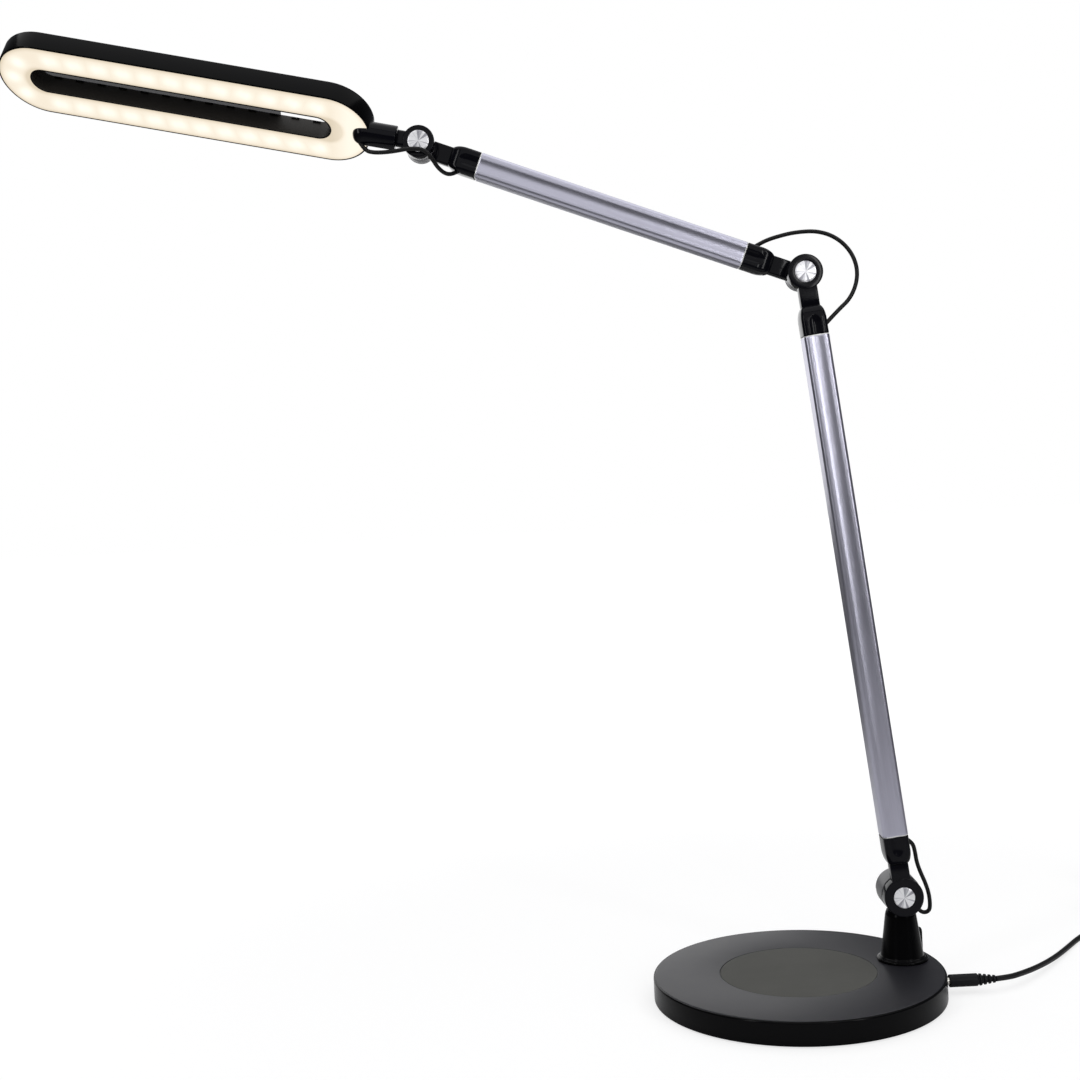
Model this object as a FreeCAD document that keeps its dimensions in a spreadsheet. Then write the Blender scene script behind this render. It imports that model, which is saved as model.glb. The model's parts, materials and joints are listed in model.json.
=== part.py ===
import FreeCAD, Part
import math
import os
import re
import Sketcher

V = FreeCAD.Vector

# ---------------------------------------------------------------- sizes, in millimetres and degrees
SIZES = {
    # round base
    "base_dia": 224, "base_height": 19, "base_wall": 2.5, "shell_edge": 1.4,
    "cover_thick": 2.2, "cover_edge": 0.9, "cover_gap": 0.3, "cover_lip": 1.0,
    "pad_thick": 1.6, "pad_margin": 6, "plate_thick": 1.8, "plate_gap": 0.4,
    "inlay_dia": 120, "inlay_thick": 0.9, "inlay_gap": 0.35,
    "ballast_dia": 194, "ballast_thick": 6.5, "ballast_gap": 0.2,
    "foot_screw_inset": 9, "foot_screw_dia": 3, "foot_screw_head": 5.6,
    "foot_screw_head_thick": 1.3, "foot_screw_length": 8, "foot_boss_dia": 7,
    "foot_well_gap": 0.6, "foot_screw_clear": 0.2, "foot_web_reach": 4, "boss_gap": 0.1,
    "shell_lap": 0.6, "cover_rise": 0.4, "board_well_margin": 7, "board_well_side": 2,
    "board_well_edge": 1, "post_well_gap": 13,
    # low-voltage inlet
    "jack_side": -11.4, "jack_height": 9.5, "jack_length": 13, "jack_width": 9,
    "jack_bore": 6.3, "jack_pin_dia": 2, "jack_front_gap": 0.3, "jack_seat_gap": 0.1,
    "jack_fit": 0.2, "jack_mouth": 10.5, "jack_mouth_gap": 0.15, "jack_pin_length": 9,
    "jack_pin_root": 0.5, "inlet_deep": 10, "board_front_gap": 3,
    "board_length": 42, "board_width": 24,
    "board_thick": 1.6,
    # post, which turns on the base
    "post_offset": 85, "post_back": 18, "flange_dia": 39.4, "flange_thick": 2.2,
    "post_gap": 0.35, "post_foot_dia": 33, "lid_gap": 0.15, "post_top_dia": 23.5, "post_top_height": 57,
    "hinge_height": 71.8, "spindle_dia": 14, "spindle_depth": 10.5, "swivel_fit": 0.08,
    "bushing_wall": 2.5, "bushing_flange": 2, "bushing_length": 5.5, "bushing_fit": 0.05,
    "bushing_collar": 2, "spindle_root": 2, "flange_bevel": 1, "post_crown": 7,
    "post_crown_taper": 0.8, "wire_room": 1.2, "eye_room": 0.5, "post_wire_back": 4,
    "swivel_nut_width": 21, "swivel_nut_thick": 3, "swivel_washer_thick": 1, "washer_margin": 1,
    "rib_width": 8, "rib_depth": 5, "rib_height": 19, "rib_bearing": 40, "rib_fit": 0.2,
    "rib_sink": 0.4,
    # hinges: a front eye beside a rear barrel
    "eye_thick": 10, "eye_face_back": 17, "hinge_gap": 0.3,
    "base_eye_dia": 30.4, "elbow_eye_dia": 27, "head_eye_dia": 24.4,
    "base_barrel_length": 24, "elbow_barrel_length": 21.5, "head_barrel_length": 19,
    "arm_barrel_dia": 23, "barrel_cap_length": 3, "barrel_cap_step": 0.5,
    "bolt_dia": 6, "bolt_head_dia": 10, "bolt_head_thick": 3, "bolt_fit": 0.06,
    "nut_width": 10, "nut_thick": 3.2, "washer_dia": 16, "washer_thick": 1.5,
    "nut_gap": 0.3, "bolt_inset": 0.5, "washer_bore_gap": 0.1, "nut_inset": 0.2,
    "washer_gap": 0.2, "washer_play": 0.05, "thread_fit": 0.02,
    "key_width": 4, "key_depth": 1.8, "bolt_seat_gap": 0.3, "cap_seat_gap": 0.1,
    "hinge_cap_dia": 16.4, "hinge_cap_thick": 1.6, "hinge_cap_proud": 0.6,
    # arms
    "tube_width": 19.6, "tube_depth": 21, "tube_corner": 3.2, "tube_wall": 1.4,
    "flute_width": 9, "flute_depth": 0.7, "spigot_step": 1,
    "end_cap_length": 22, "cap_spigot": 14, "cap_fit": 0.1, "cap_round": 6.5,
    "neck_width": 14.3, "neck_tang": 12, "tang_narrow": 4, "tang_thin": 3, "tang_root": 0.5,
    "tang_fit": 0.05, "neck_root": 1.5, "barrel_fit": 0.05, "rear_cap_gap": 0.02,
    "wire_offset": 4,
    "lower_length": 489.2, "lower_lean": 6.34, "lower_end": 49,
    "upper_length": 312.6, "upper_rise": 21.55, "upper_end": 47.3, "upper_back": 22,
    "wire_dia": 3.2, "entry_gap": 0.3, "entry_length": 7,
    # lamp head
    "head_rise": 12.68, "head_roll": 30, "head_near": 37, "head_length": 289,
    "head_width": 68, "head_thick": 16.8, "head_face": 3.1, "head_wall": 2,
    "slot_near": 68.7, "slot_length": 231.4, "slot_width": 20.9, "diffuser_inset": 0.2,
    "board_gap": 0.6, "collar_depth": 3, "collar_run": 4, "collar_gap": 0.1,
    "diffuser_collar_gap": 0.6, "board_collar_gap": 1.2, "sheet_gap": 0.05, "screen_length": 189,
    "screen_thick": 0.8, "screen_fit": 0.02, "screen_inset": 0.15,
    "diffuser_thick": 2, "diffuser_gap": 0.25, "led_board_thick": 1.2, "led_board_depth": 11.4,
    "led_pitch": 18.6, "led_side": 3, "led_thick": 0.9, "tooth_pitch": 17, "tooth_length": 6,
    "tooth_high": 1.2, "tooth_deep": 0.8, "tooth_inset": 1, "tooth_fit": 0.02,
    "sleeve_dia": 18.6, "sleeve_near": 17.3, "sleeve_far": 46, "roll_neck_dia": 14,
    "roll_pin_dia": 8, "roll_pin_length": 20, "jaw_width": 17, "jaw_thick": 2.6,
    "jaw_reach": 14, "jaw_gap": 0.1, "jaw_run": 4, "sleeve_gap": 0.2, "clip_width": 1.2,
    "clip_thick": 0.8, "clip_groove": 1, "clip_deep": 0.6, "clip_back": 2.5, "clip_room": 1.6,
    "head_screw_dia": 2.5, "head_screw_head": 4.4, "head_screw_clear": 0.1,
    "head_screw_head_thick": 1.2,
    # supply lead
    "plug_dia": 9.6, "plug_length": 22, "plug_barrel_dia": 5.5, "plug_barrel_length": 9,
    "boot_length": 14, "boot_tip_dia": 4.8, "boot_waist": 1.6, "boot_taper": 0.4, "cord_dia": 4.2,
    "coil_dia": 48, "coil_layers": 3,
    "adapter_long": 62, "adapter_wide": 40, "adapter_high": 28,
    "adapter_exit": 8, "adapter_boot_wall": 0.6, "pin_dia": 4, "pin_length": 19, "pin_pitch": 19,
    "plug_gap": 1.4,
    "boot_rib": 1.8, "boot_step": 0.55, "boot_gap": 0.02, "tie_width": 6, "tie_thick": 0.9,
    "tie_gap": 0.4, "tie_top_gap": 0.1, "tie_top": 0.9,
    # cutters: how far one runs past the face it opens, and one that goes right through
    "over": 1, "through": 60, "outline_over": 0.02,
}

doc = FreeCAD.newDocument("swing_arm_lamp")
sheet = doc.addObject("Spreadsheet::Sheet", "sizes")
for row, (alias, value) in enumerate(SIZES.items(), 1):
    sheet.set(f"A{row}", alias)
    sheet.set(f"B{row}", str(value))
    sheet.setAlias(f"B{row}", alias)
doc.recompute()


def mm(alias):
    """A size from the sheet as a number."""
    return float(sheet.get(alias))


def bound(text):
    """An expression with each size name turned into a reference to its cell."""
    return re.sub(r"[a-z]\w*", lambda w: "sizes." + w[0] if w[0] in SIZES else w[0], text)


def bind(obj, **texts):
    for prop, text in texts.items():
        obj.setExpression(prop, bound(str(text)))


# ---------------------------------------------------------------- frames of the moving groups
def frame(x, y, z, tilt=0.0, roll=0.0):
    """Origin on a hinge, local Z along the arm; tilt turns it about world Y, roll about itself."""
    turn = FreeCAD.Rotation(V(0, 1, 0), tilt) * FreeCAD.Rotation(V(0, 0, 1), roll)
    return FreeCAD.Placement(V(x, y, z), turn)


WORLD = FreeCAD.Placement()
EYE_FRONT = mm("post_back") - mm("eye_face_back")
EYE_MID = EYE_FRONT + mm("eye_thick") / 2
BARREL_FRONT = EYE_FRONT + mm("eye_thick") + mm("hinge_gap")
LEAN = math.radians(mm("lower_lean"))
RISE = math.radians(mm("upper_rise"))
BASE_AT = (mm("post_offset"), mm("hinge_height"))
ELBOW_AT = (BASE_AT[0] - mm("lower_length") * math.sin(LEAN),
            BASE_AT[1] + mm("lower_length") * math.cos(LEAN))
HEAD_AT = (ELBOW_AT[0] - mm("upper_length") * math.cos(RISE),
           ELBOW_AT[1] + mm("upper_length") * math.sin(RISE))
POST = frame(mm("post_offset"), mm("post_back"), 0)
LOWER = frame(BASE_AT[0], EYE_MID, BASE_AT[1], -mm("lower_lean"))
UPPER = frame(ELBOW_AT[0], EYE_FRONT + mm("upper_back"), ELBOW_AT[1], mm("upper_rise") - 90)
KNUCKLE = frame(HEAD_AT[0], EYE_MID, HEAD_AT[1], mm("head_rise") - 90)
HEAD = frame(HEAD_AT[0], EYE_MID, HEAD_AT[1], mm("head_rise") - 90, mm("head_roll"))

NODES = {}


def node(name, obj, place=WORLD):
    """Name an object as a sub-part and set it in its group's frame."""
    if obj.ExpressionEngine and obj.TypeId.startswith("Part::"):
        obj = group([obj])
    obj.Label = name
    obj.Placement = place * obj.Placement
    NODES[name] = obj
    return obj


# ---------------------------------------------------------------- primitives and booleans
AXES = {"z": FreeCAD.Rotation(), "y": FreeCAD.Rotation(V(1, 0, 0), -90),
        "x": FreeCAD.Rotation(V(0, 1, 0), 90)}
serial = iter(range(1, 10000))


def primitive(kind, at, turn, sizes):
    obj = doc.addObject("Part::" + kind, f"{kind.lower()}_{next(serial)}")
    obj.Placement = FreeCAD.Placement(V(), turn)
    bind(obj, **sizes)
    for letter, text in zip("xyz", at):
        obj.setExpression("Placement.Base." + letter, bound(str(text)))
    return obj


def rod(radius, length, at=(0, 0, 0), axis="z"):
    """A cylinder from a point along an axis; its sizes are expressions."""
    return primitive("Cylinder", at, AXES[axis], {"Radius": radius, "Height": length})


def cone(low, high, length, at=(0, 0, 0), axis="z"):
    sizes = {"Radius1": low, "Radius2": high, "Height": length}
    return primitive("Cone", at, AXES[axis], sizes)


def block(size, at):
    """A box centred on X and Y, standing on its lowest Z."""
    wide, deep, tall = size
    corner = (f"({at[0]}) - ({wide}) / 2", f"({at[1]}) - ({deep}) / 2", at[2])
    return primitive("Box", corner, AXES["z"], {"Length": wide, "Width": deep, "Height": tall})


def hexagon(width, length, at, axis="z"):
    """A hexagonal prism, width across flats."""
    sizes = {"Circumradius": f"({width}) / sqrt(3)", "Height": length}
    obj = primitive("Prism", at, AXES[axis], sizes)
    obj.Polygon = 6
    return obj


def fuse(*parts):
    obj = doc.addObject("Part::MultiFuse", f"fuse_{next(serial)}")
    obj.Shapes = list(parts)
    return obj


def cut(base, *tools):
    obj = doc.addObject("Part::Cut", f"cut_{next(serial)}")
    obj.Base = base
    obj.Tool = tools[0] if len(tools) == 1 else fuse(*tools)
    return obj


def common(base, tool):
    obj = doc.addObject("Part::Common", f"common_{next(serial)}")
    obj.Base = base
    obj.Tool = tool
    return obj


def group(parts):
    """Separate solids of one kind kept together in one sub-part."""
    obj = doc.addObject("Part::Compound", f"group_{next(serial)}")
    obj.Links = list(parts)
    return obj


def spun(text, angle, at=(0, 0, 0)):
    """Expression pair for a point at a radius and bearing, offset by at."""
    x = f"({at[0]}) + ({text}) * cos({angle})"
    y = f"({at[1]}) + ({text}) * sin({angle})"
    return x, y


# ---------------------------------------------------------------- bodies drawn from sketches
def new_body(name):
    return doc.addObject("PartDesign::Body", name)


def plane(body, role):
    return next(f for f in body.Origin.OriginFeatures if f.Role == role)


def sketch_on(body, role, name, lift="0"):
    sketch = body.newObject("Sketcher::SketchObject", name)
    sketch.AttachmentSupport = [(plane(body, role), "")]
    sketch.MapMode = "FlatFace"
    sketch.setExpression("AttachmentOffset.Base.z", bound(lift))
    return sketch


def outline(sketch, points):
    """A closed polygon whose corners are bound to expression pairs."""
    numbers = [[float(sheet.evalExpression(bound(t))) for t in pair] for pair in points]
    count = len(points)
    first = sketch.GeometryCount
    for k in range(count):
        a, b = numbers[k], numbers[(k + 1) % count]
        sketch.addGeometry(Part.LineSegment(V(*a, 0), V(*b, 0)), False)
    for k in range(count):
        here, after = first + k, first + (k + 1) % count
        sketch.addConstraint(Sketcher.Constraint("Coincident", here, 2, after, 1))
    for k, pair in enumerate(points):
        for kind, text, value in zip(("DistanceX", "DistanceY"), pair, numbers[k]):
            place = sketch.addConstraint(Sketcher.Constraint(kind, -1, 1, first + k, 1, value))
            sketch.setExpression(f"Constraints[{place}]", bound(text))


def entry_hole(route, place=WORLD):
    """A blind hole in a group's frame for the end of a lead; the route starts inside the piece."""
    start, after = (place.inverse().multVec(V(*point)) for point in route[:2])
    way = (after - start).normalize()
    hole = doc.addObject("Part::Cylinder", f"entry_{next(serial)}")
    bind(hole, Radius="wire_dia / 2 + entry_gap", Height="entry_length")
    hole.Placement = FreeCAD.Placement(start - way * mm("entry_gap"),
                                       FreeCAD.Rotation(V(0, 0, 1), way))
    return hole


def revolve(name, points):
    """A solid of revolution about Z from (radius, height) corners."""
    body = new_body(name)
    sketch = sketch_on(body, "XZ_Plane", name + "_profile")
    outline(sketch, points)
    turned = body.newObject("PartDesign::Revolution", name + "_turned")
    turned.Profile = sketch
    turned.ReferenceAxis = (sketch, ["V_Axis"])
    turned.Angle = 360
    return body


def pad_outline(name, role, points, length, lift="0", midplane=False):
    """A prism drawn on an origin plane; corners are expression pairs."""
    body = new_body(name)
    sketch = sketch_on(body, role, name + "_outline", lift)
    outline(sketch, points)
    prism = body.newObject("PartDesign::Pad", name + "_pad")
    prism.Profile = sketch
    bind(prism, Length=length)
    prism.Midplane = midplane
    return body


def rectangle(wide, tall, low=None):
    """Corners of a rectangle centred on the first axis, and on the second unless low is given."""
    bottom = f"-({tall}) / 2" if low is None else low
    top = f"({bottom}) + ({tall})"
    return [(f"-({wide}) / 2", bottom), (f"({wide}) / 2", bottom),
            (f"({wide}) / 2", top), (f"-({wide}) / 2", top)]


def soften(body, radius, wanted):
    """Round the edges of the body's tip that a test picks."""
    doc.recompute()
    last = body.Tip
    edges = [f"Edge{k}" for k, edge in enumerate(last.Shape.Edges, 1) if wanted(edge)]
    rounded = body.newObject("PartDesign::Fillet", f"{body.Name}_round_{next(serial)}")
    rounded.Base = (last, edges)
    bind(rounded, Radius=radius)
    return body


def along(edge, direction):
    ends = [v.Point for v in edge.Vertexes]
    return len(ends) == 2 and abs((ends[1] - ends[0]).normalize() * direction) > 0.999


def bar(name, wide, deep, length, corner, lift="0"):
    """A rounded-square bar along Z."""
    body = pad_outline(name, "XY_Plane", rectangle(wide, deep), length, lift)
    return soften(body, corner, lambda edge: along(edge, V(0, 0, 1)))


# ---------------------------------------------------------------- routes of the leads
# Points in the lamp's frame: each loop leaves an end cap and enters the next piece.
BASE_LEAD = [(89.7, 6, 116.4), (94.4, 7.2, 113.2), (96.3, 8.6, 106), (97.6, 10, 97),
             (100.6, 11.5, 88.4), (104.2, 13, 80), (106.9, 14.4, 71.5), (107.9, 15.6, 63.8),
             (107.8, 16.5, 57.7), (105.4, 17.2, 55.2), (101.8, 17.9, 55.2), (99.3, 18.4, 57.7),
             (98.7, 18.8, 61.8), (98.7, 19, 65.9)]
ELBOW_LEAD = [(-6, 23, 581.2), (-1.2, 22.8, 583.7), (6, 22, 586.8), (14, 21, 588.8),
              (23.5, 19.8, 590.6), (33.5, 18.3, 591.2), (43.5, 16.8, 590.6), (53.5, 15.2, 587.2),
              (62.5, 13.6, 580.6), (69.3, 12, 571), (72.4, 10.5, 559.6), (71, 9.2, 547.6),
              (65, 8, 536), (56, 7, 528.4), (47.4, 6, 520)]
HEAD_LEAD_ARM = [(-232.6, 20, 651.6), (-236.8, 15.5, 648.8), (-241.8, 10.4, 649.2),
                 (-246.6, 5.2, 653.2), (-250.2, 0.8, 659.4), (-255.4, -2.4, 665.4),
                 (-261, -2.8, 665.9)]
HEAD_LEAD_NECK = [(-261.1, -2.81, 665.91), (-267, -3.2, 666.4), (-276, -2.8, 665.2),
                  (-285, -2, 664.7), (-293.6, -0.6, 665.2), (-300.4, 1.6, 667.4), (-304.2, 4, 673.8)]


# ---------------------------------------------------------------- base
FOOT_BEARINGS = (20, 140, 220, 320)
UNDER_COVER = "(base_height - cover_thick)"
ON_PLATE = "(pad_thick + plate_thick)"


def foot_points(further="0"):
    """Centres of the foot screws, or of a circle a little further out."""
    return [spun(f"base_dia / 2 - foot_screw_inset + {further}", angle)
            for angle in FOOT_BEARINGS]


def make_base():
    pad = rod("base_dia / 2 - pad_margin", "pad_thick")
    wells = [rod("foot_screw_head / 2 + foot_well_gap", "pad_thick + 2 * over", (x, y, "-over"))
             for x, y in foot_points()]
    node("anti_slip_pad", cut(pad, *wells))

    plate = rod("base_dia / 2 - base_wall - plate_gap", "plate_thick", (0, 0, "pad_thick"))
    holes = [rod("foot_screw_dia / 2 + foot_screw_clear", "plate_thick + 2 * over",
                 (x, y, "pad_thick - over"))
             for x, y in foot_points()]
    node("base_bottom_plate", cut(plate, *holes))

    inner = "base_dia / 2 - base_wall"
    shell = revolve("base_shell", [
        (inner, "pad_thick - shell_lap"), ("base_dia / 2 - shell_edge / 2", "pad_thick - shell_lap"),
        ("base_dia / 2", "pad_thick - shell_lap + shell_edge / 2"),
        ("base_dia / 2", "base_height - cover_rise - shell_edge"),
        ("base_dia / 2 - shell_edge / 3", "base_height - cover_rise - shell_edge / 3"),
        ("base_dia / 2 - cover_lip", "base_height - cover_rise"),
        ("base_dia / 2 - cover_lip", UNDER_COVER), (inner, UNDER_COVER)])
    bosses = [rod("foot_boss_dia / 2", f"{UNDER_COVER} - {ON_PLATE} - boss_gap", (x, y, ON_PLATE))
              for x, y in foot_points()]
    pilots = [rod("foot_screw_dia / 2 + thread_fit", "foot_screw_length", (x, y, ON_PLATE))
              for x, y in foot_points()]
    webs = [rod("foot_boss_dia / 2", f"{UNDER_COVER} - {ON_PLATE} - boss_gap", (x, y, ON_PLATE))
            for x, y in foot_points("foot_web_reach")]
    inlet = rod("jack_bore / 2", "inlet_deep",
                ("base_dia / 2 - inlet_deep + base_wall", "jack_side", "jack_height"), "x")
    seat = block(("inlet_deep", "jack_width + 2 * jack_fit", "jack_width + 2 * jack_fit"),
                 ("base_dia / 2 - base_wall - jack_front_gap - inlet_deep / 2", "jack_side",
                  "jack_height - jack_width / 2 - jack_fit"))
    webs_inside = [cut(web, ring_outside()) for web in webs]
    node("base_housing", cut(fuse(shell, *bosses, *webs_inside), *pilots, inlet, seat))

    cover = revolve("cover_disc", [
        ("0", UNDER_COVER), ("base_dia / 2 - cover_lip - cover_gap", UNDER_COVER),
        ("base_dia / 2 - cover_lip - cover_gap", "base_height - cover_edge"),
        ("base_dia / 2 - cover_lip - cover_gap - cover_edge / 3", "base_height - cover_edge / 3"),
        ("base_dia / 2 - cover_lip - cover_gap - cover_edge", "base_height"),
        ("0", "base_height")])
    recess = rod("inlay_dia / 2 + inlay_gap", "inlay_thick + over",
                 (0, 0, "base_height - inlay_thick"))
    seat_hole = rod("spindle_dia / 2 + bushing_wall", "cover_thick + 2 * over",
                    ("post_offset", "post_back", f"{UNDER_COVER} - over"))
    node("base_top_cover", cut(cover, recess, seat_hole))
    node("inlay_disc", rod("inlay_dia / 2", "inlay_thick", (0, 0, "base_height - inlay_thick")))

    ballast = rod("ballast_dia / 2", "ballast_thick", (0, 0, f"{ON_PLATE} + ballast_gap"))
    post_well = rod("spindle_dia / 2 + post_well_gap", "ballast_thick + 2 * over",
                    ("post_offset", "post_back", ON_PLATE))
    board_well = block(
        ("board_length + 2 * board_well_margin", "board_width + 2 * board_well_side",
         "ballast_thick + 2 * over"),
        ("base_dia / 2 - board_well_edge - board_well_margin - board_length / 2", "jack_side",
         ON_PLATE))
    node("ballast_disc", cut(ballast, post_well, board_well))

    heads = [rod("foot_screw_head / 2", "foot_screw_head_thick",
                 (x, y, "pad_thick - foot_screw_head_thick")) for x, y in foot_points()]
    shanks = [rod("foot_screw_dia / 2", "foot_screw_length", (x, y, "pad_thick"))
              for x, y in foot_points()]
    node("base_screws", group([fuse(h, s) for h, s in zip(heads, shanks)]))


def ring_outside():
    """Everything beyond the middle of the base wall, used to trim what is fused to it."""
    return cut(rod("base_dia", "base_height"),
               rod("base_dia / 2 - base_wall / 2", "base_height + 2 * over", (0, 0, "-over")))


def make_inlet():
    front = "(base_dia / 2 - base_wall - jack_front_gap - jack_seat_gap)"
    box = block(("jack_length", "jack_width", "jack_width"),
                (f"{front} - jack_length / 2", "jack_side", "jack_height - jack_width / 2"))
    mouth = rod("plug_barrel_dia / 2 + jack_mouth_gap", "jack_mouth",
                (f"{front} - jack_mouth", "jack_side", "jack_height"), "x")
    pin = rod("jack_pin_dia / 2", "jack_pin_length",
              (f"{front} - jack_mouth - jack_pin_root", "jack_side", "jack_height"), "x")
    node("dc_socket", fuse(cut(box, mouth), pin))
    board = block(("board_length", "board_width", "board_thick"),
                  ("base_dia / 2 - base_wall - board_front_gap - board_length / 2", "jack_side",
                   "jack_height - jack_width / 2 - board_thick"))
    node("power_board", board)


def make_swivel():
    """Bushing in the top cover; the post's hollow spindle turns in it."""
    x, y = "post_offset", "post_back"
    low = "base_height - bushing_length"
    sleeve = rod("spindle_dia / 2 + bushing_wall - bushing_fit", "bushing_length", (x, y, low))
    collar = rod("spindle_dia / 2 + bushing_wall + bushing_collar", "bushing_flange",
                 (x, y, f"{UNDER_COVER} - bushing_flange"))
    bore = rod("spindle_dia / 2 + swivel_fit", "bushing_length + 2 * over", (x, y, f"{low} - over"))
    node("swivel_bushing", cut(fuse(sleeve, collar), bore))


# ---------------------------------------------------------------- post
def barrel_cuts(front, length, height):
    """Bolt bore, washer seat and nut seat of a hinge barrel that starts at front in local Y."""
    nut_front = f"{front} + ({length}) - nut_thick - nut_gap"
    return [
        rod("bolt_dia / 2 + bolt_fit", "through", (0, "-through / 2", height), "y"),
        rod("washer_dia / 2 + washer_gap", "washer_thick", (0, front, height), "y"),
        rod("nut_width / sqrt(3) + nut_gap", "nut_thick + 2 * over", (0, nut_front, height), "y")]


def make_post():
    foot = "base_height + post_gap"
    column = revolve("post_turned", [
        ("0", foot), ("flange_dia / 2", foot), ("flange_dia / 2", f"{foot} + flange_thick * 0.6"),
        ("flange_dia / 2 - flange_bevel", f"{foot} + flange_thick"),
        ("post_foot_dia / 2 + flange_bevel", f"{foot} + flange_thick"),
        ("post_foot_dia / 2", f"{foot} + flange_thick + flange_bevel"),
        ("post_top_dia / 2", "post_top_height"),
        ("post_top_dia / 2 - post_crown_taper", "post_top_height + post_crown"),
        ("0", "post_top_height + post_crown")])
    spindle = rod("spindle_dia / 2", "spindle_depth + spindle_root", (0, 0, f"{foot} - spindle_depth"))
    barrel_front = "-eye_face_back + eye_thick + hinge_gap"
    barrel = rod("base_eye_dia / 2", "base_barrel_length", (0, barrel_front, "hinge_height"), "y")
    above = block(("base_eye_dia + 2 * over", "through", "base_eye_dia"), (0, 0, "hinge_height"))
    relief = rod("base_eye_dia / 2 + eye_room", "through",
                 (0, f"{barrel_front} - through", "hinge_height"), "y")
    wire_way = rod("wire_dia / 2 + wire_room", "hinge_height + 2 * over",
                   (0, "post_wire_back", "-over"))
    solid = fuse(cut(fuse(column, barrel), above), spindle)
    hardware = barrel_cuts(barrel_front, "base_barrel_length", "hinge_height")
    column = cut(solid, relief, wire_way, *hardware)
    node("post_column", cut(column, entry_hole(BASE_LEAD[::-1], POST)), POST)

    lid = rod("base_eye_dia / 2", "base_barrel_length", (0, barrel_front, "hinge_height"), "y")
    below = block(("base_eye_dia + 2 * over", "through", "base_eye_dia"),
                  (0, 0, "hinge_height - base_eye_dia + lid_gap"))
    node("post_barrel_cover",
         cut(lid, below, *barrel_cuts(barrel_front, "base_barrel_length", "hinge_height")), POST)

    rib = block(("rib_depth", "rib_width", "rib_height - rib_depth"), (0, 0, "0"))
    top = rod("rib_depth", "rib_width",
              ("-rib_depth / 2", "-rib_width / 2", "rib_height - rib_depth"), "y")
    keep = block(("rib_depth", "rib_width", "rib_height"), (0, 0, "0"))
    piece = common(fuse(rib, top), keep)
    swing = FreeCAD.Rotation(V(0, 0, 1), mm("rib_bearing"))
    out = mm("post_foot_dia") / 2 + mm("rib_depth") / 2 - mm("rib_sink")
    lift = mm("base_height") + mm("post_gap") + mm("flange_thick") + mm("flange_bevel")
    piece.Placement = FreeCAD.Placement(swing.multVec(V(out, 0, lift)), swing)
    hollow = rod("post_foot_dia / 2 + rib_fit", "through", (0, 0, "base_height"))
    node("post_rear_cover", cut(piece, hollow), POST)

    thread_low = f"{foot} - spindle_depth"
    nut = cut(hexagon("swivel_nut_width", "swivel_nut_thick", (0, 0, thread_low)),
              rod("spindle_dia / 2 + thread_fit", "swivel_nut_thick + 2 * over",
                  (0, 0, f"{thread_low} - over")))
    node("swivel_nut", nut, POST)
    washer_low = f"{thread_low} + swivel_nut_thick + washer_play"
    washer = cut(rod("swivel_nut_width / 2 + washer_margin", "swivel_washer_thick", (0, 0, washer_low)),
                 rod("spindle_dia / 2 + washer_play", "swivel_washer_thick + 2 * over",
                     (0, 0, f"{washer_low} - over")))
    node("swivel_washer", washer, POST)


# ---------------------------------------------------------------- hinge hardware
def hinge_parts(place, front, barrel_length):
    """Bolt, nut and friction washer of one hinge; front is the eye's front face in local Y."""
    head_face = f"{front} + hinge_cap_thick - hinge_cap_proud + washer_gap"
    tail = f"{front} + eye_thick + hinge_gap + {barrel_length}"
    head = rod("bolt_head_dia / 2", "bolt_head_thick", (0, head_face, 0), "y")
    shank = rod("bolt_dia / 2", f"({tail}) - ({head_face}) - bolt_inset", (0, head_face, 0), "y")
    socket = hexagon("key_width", "key_depth", (0, head_face, 0), "y")
    bolt = cut(fuse(head, shank), socket)
    nut_front = f"{tail} - nut_thick - nut_inset"
    nut = cut(hexagon("nut_width", "nut_thick", (0, nut_front, 0), "y"),
              rod("bolt_dia / 2 + thread_fit", "nut_thick + 2 * over",
                  (0, f"{nut_front} - over", 0), "y"))
    washer_front = f"{front} + eye_thick + washer_play"
    washer = cut(rod("washer_dia / 2", "washer_thick", (0, washer_front, 0), "y"),
                 rod("bolt_dia / 2 + washer_bore_gap", "washer_thick + 2 * over",
                     (0, f"{washer_front} - over", 0), "y"))
    for part in (bolt, nut, washer):
        part.Placement = place
    return bolt, nut, washer


def eye(name, place, dia, reach, tang, height="0", way=1):
    """Front eye: disc, flat neck of the given reach and a tang for the arm's end cap."""
    start = height if way > 0 else f"({height}) - ({reach})"
    tang_at = (f"({height}) + ({reach}) - tang_root" if way > 0
               else f"({height}) - ({reach}) - ({tang}) + tang_root")
    disc = rod(f"{dia} / 2", "eye_thick", (0, "-eye_thick / 2", height), "y")
    neck = block(("neck_width", "eye_thick", reach), (0, 0, start))
    stem = block(("neck_width - tang_narrow", "eye_thick - tang_thin", tang), (0, 0, tang_at))
    tools = eye_cuts(height)
    return node(name, cut(fuse(disc, neck, stem), *tools), place)


def eye_cuts(height="0"):
    return [
        rod("bolt_dia / 2 + bolt_fit", "eye_thick + 2 * over",
            (0, "-eye_thick / 2 - over", height), "y"),
        rod("bolt_head_dia / 2 + bolt_seat_gap",
            "hinge_cap_thick - hinge_cap_proud + bolt_head_thick + bolt_seat_gap",
            (0, "-eye_thick / 2", height), "y"),
        rod("hinge_cap_dia / 2 + cap_seat_gap", "hinge_cap_thick - hinge_cap_proud",
            (0, "-eye_thick / 2", height), "y")]


def hinge_cap(name, place, height="0"):
    """Spun metal cap pressed into the front of an eye."""
    disc = rod("hinge_cap_dia / 2", "hinge_cap_thick",
               (0, "-eye_thick / 2 - hinge_cap_proud", height), "y")
    return node(name, disc, place)


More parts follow.
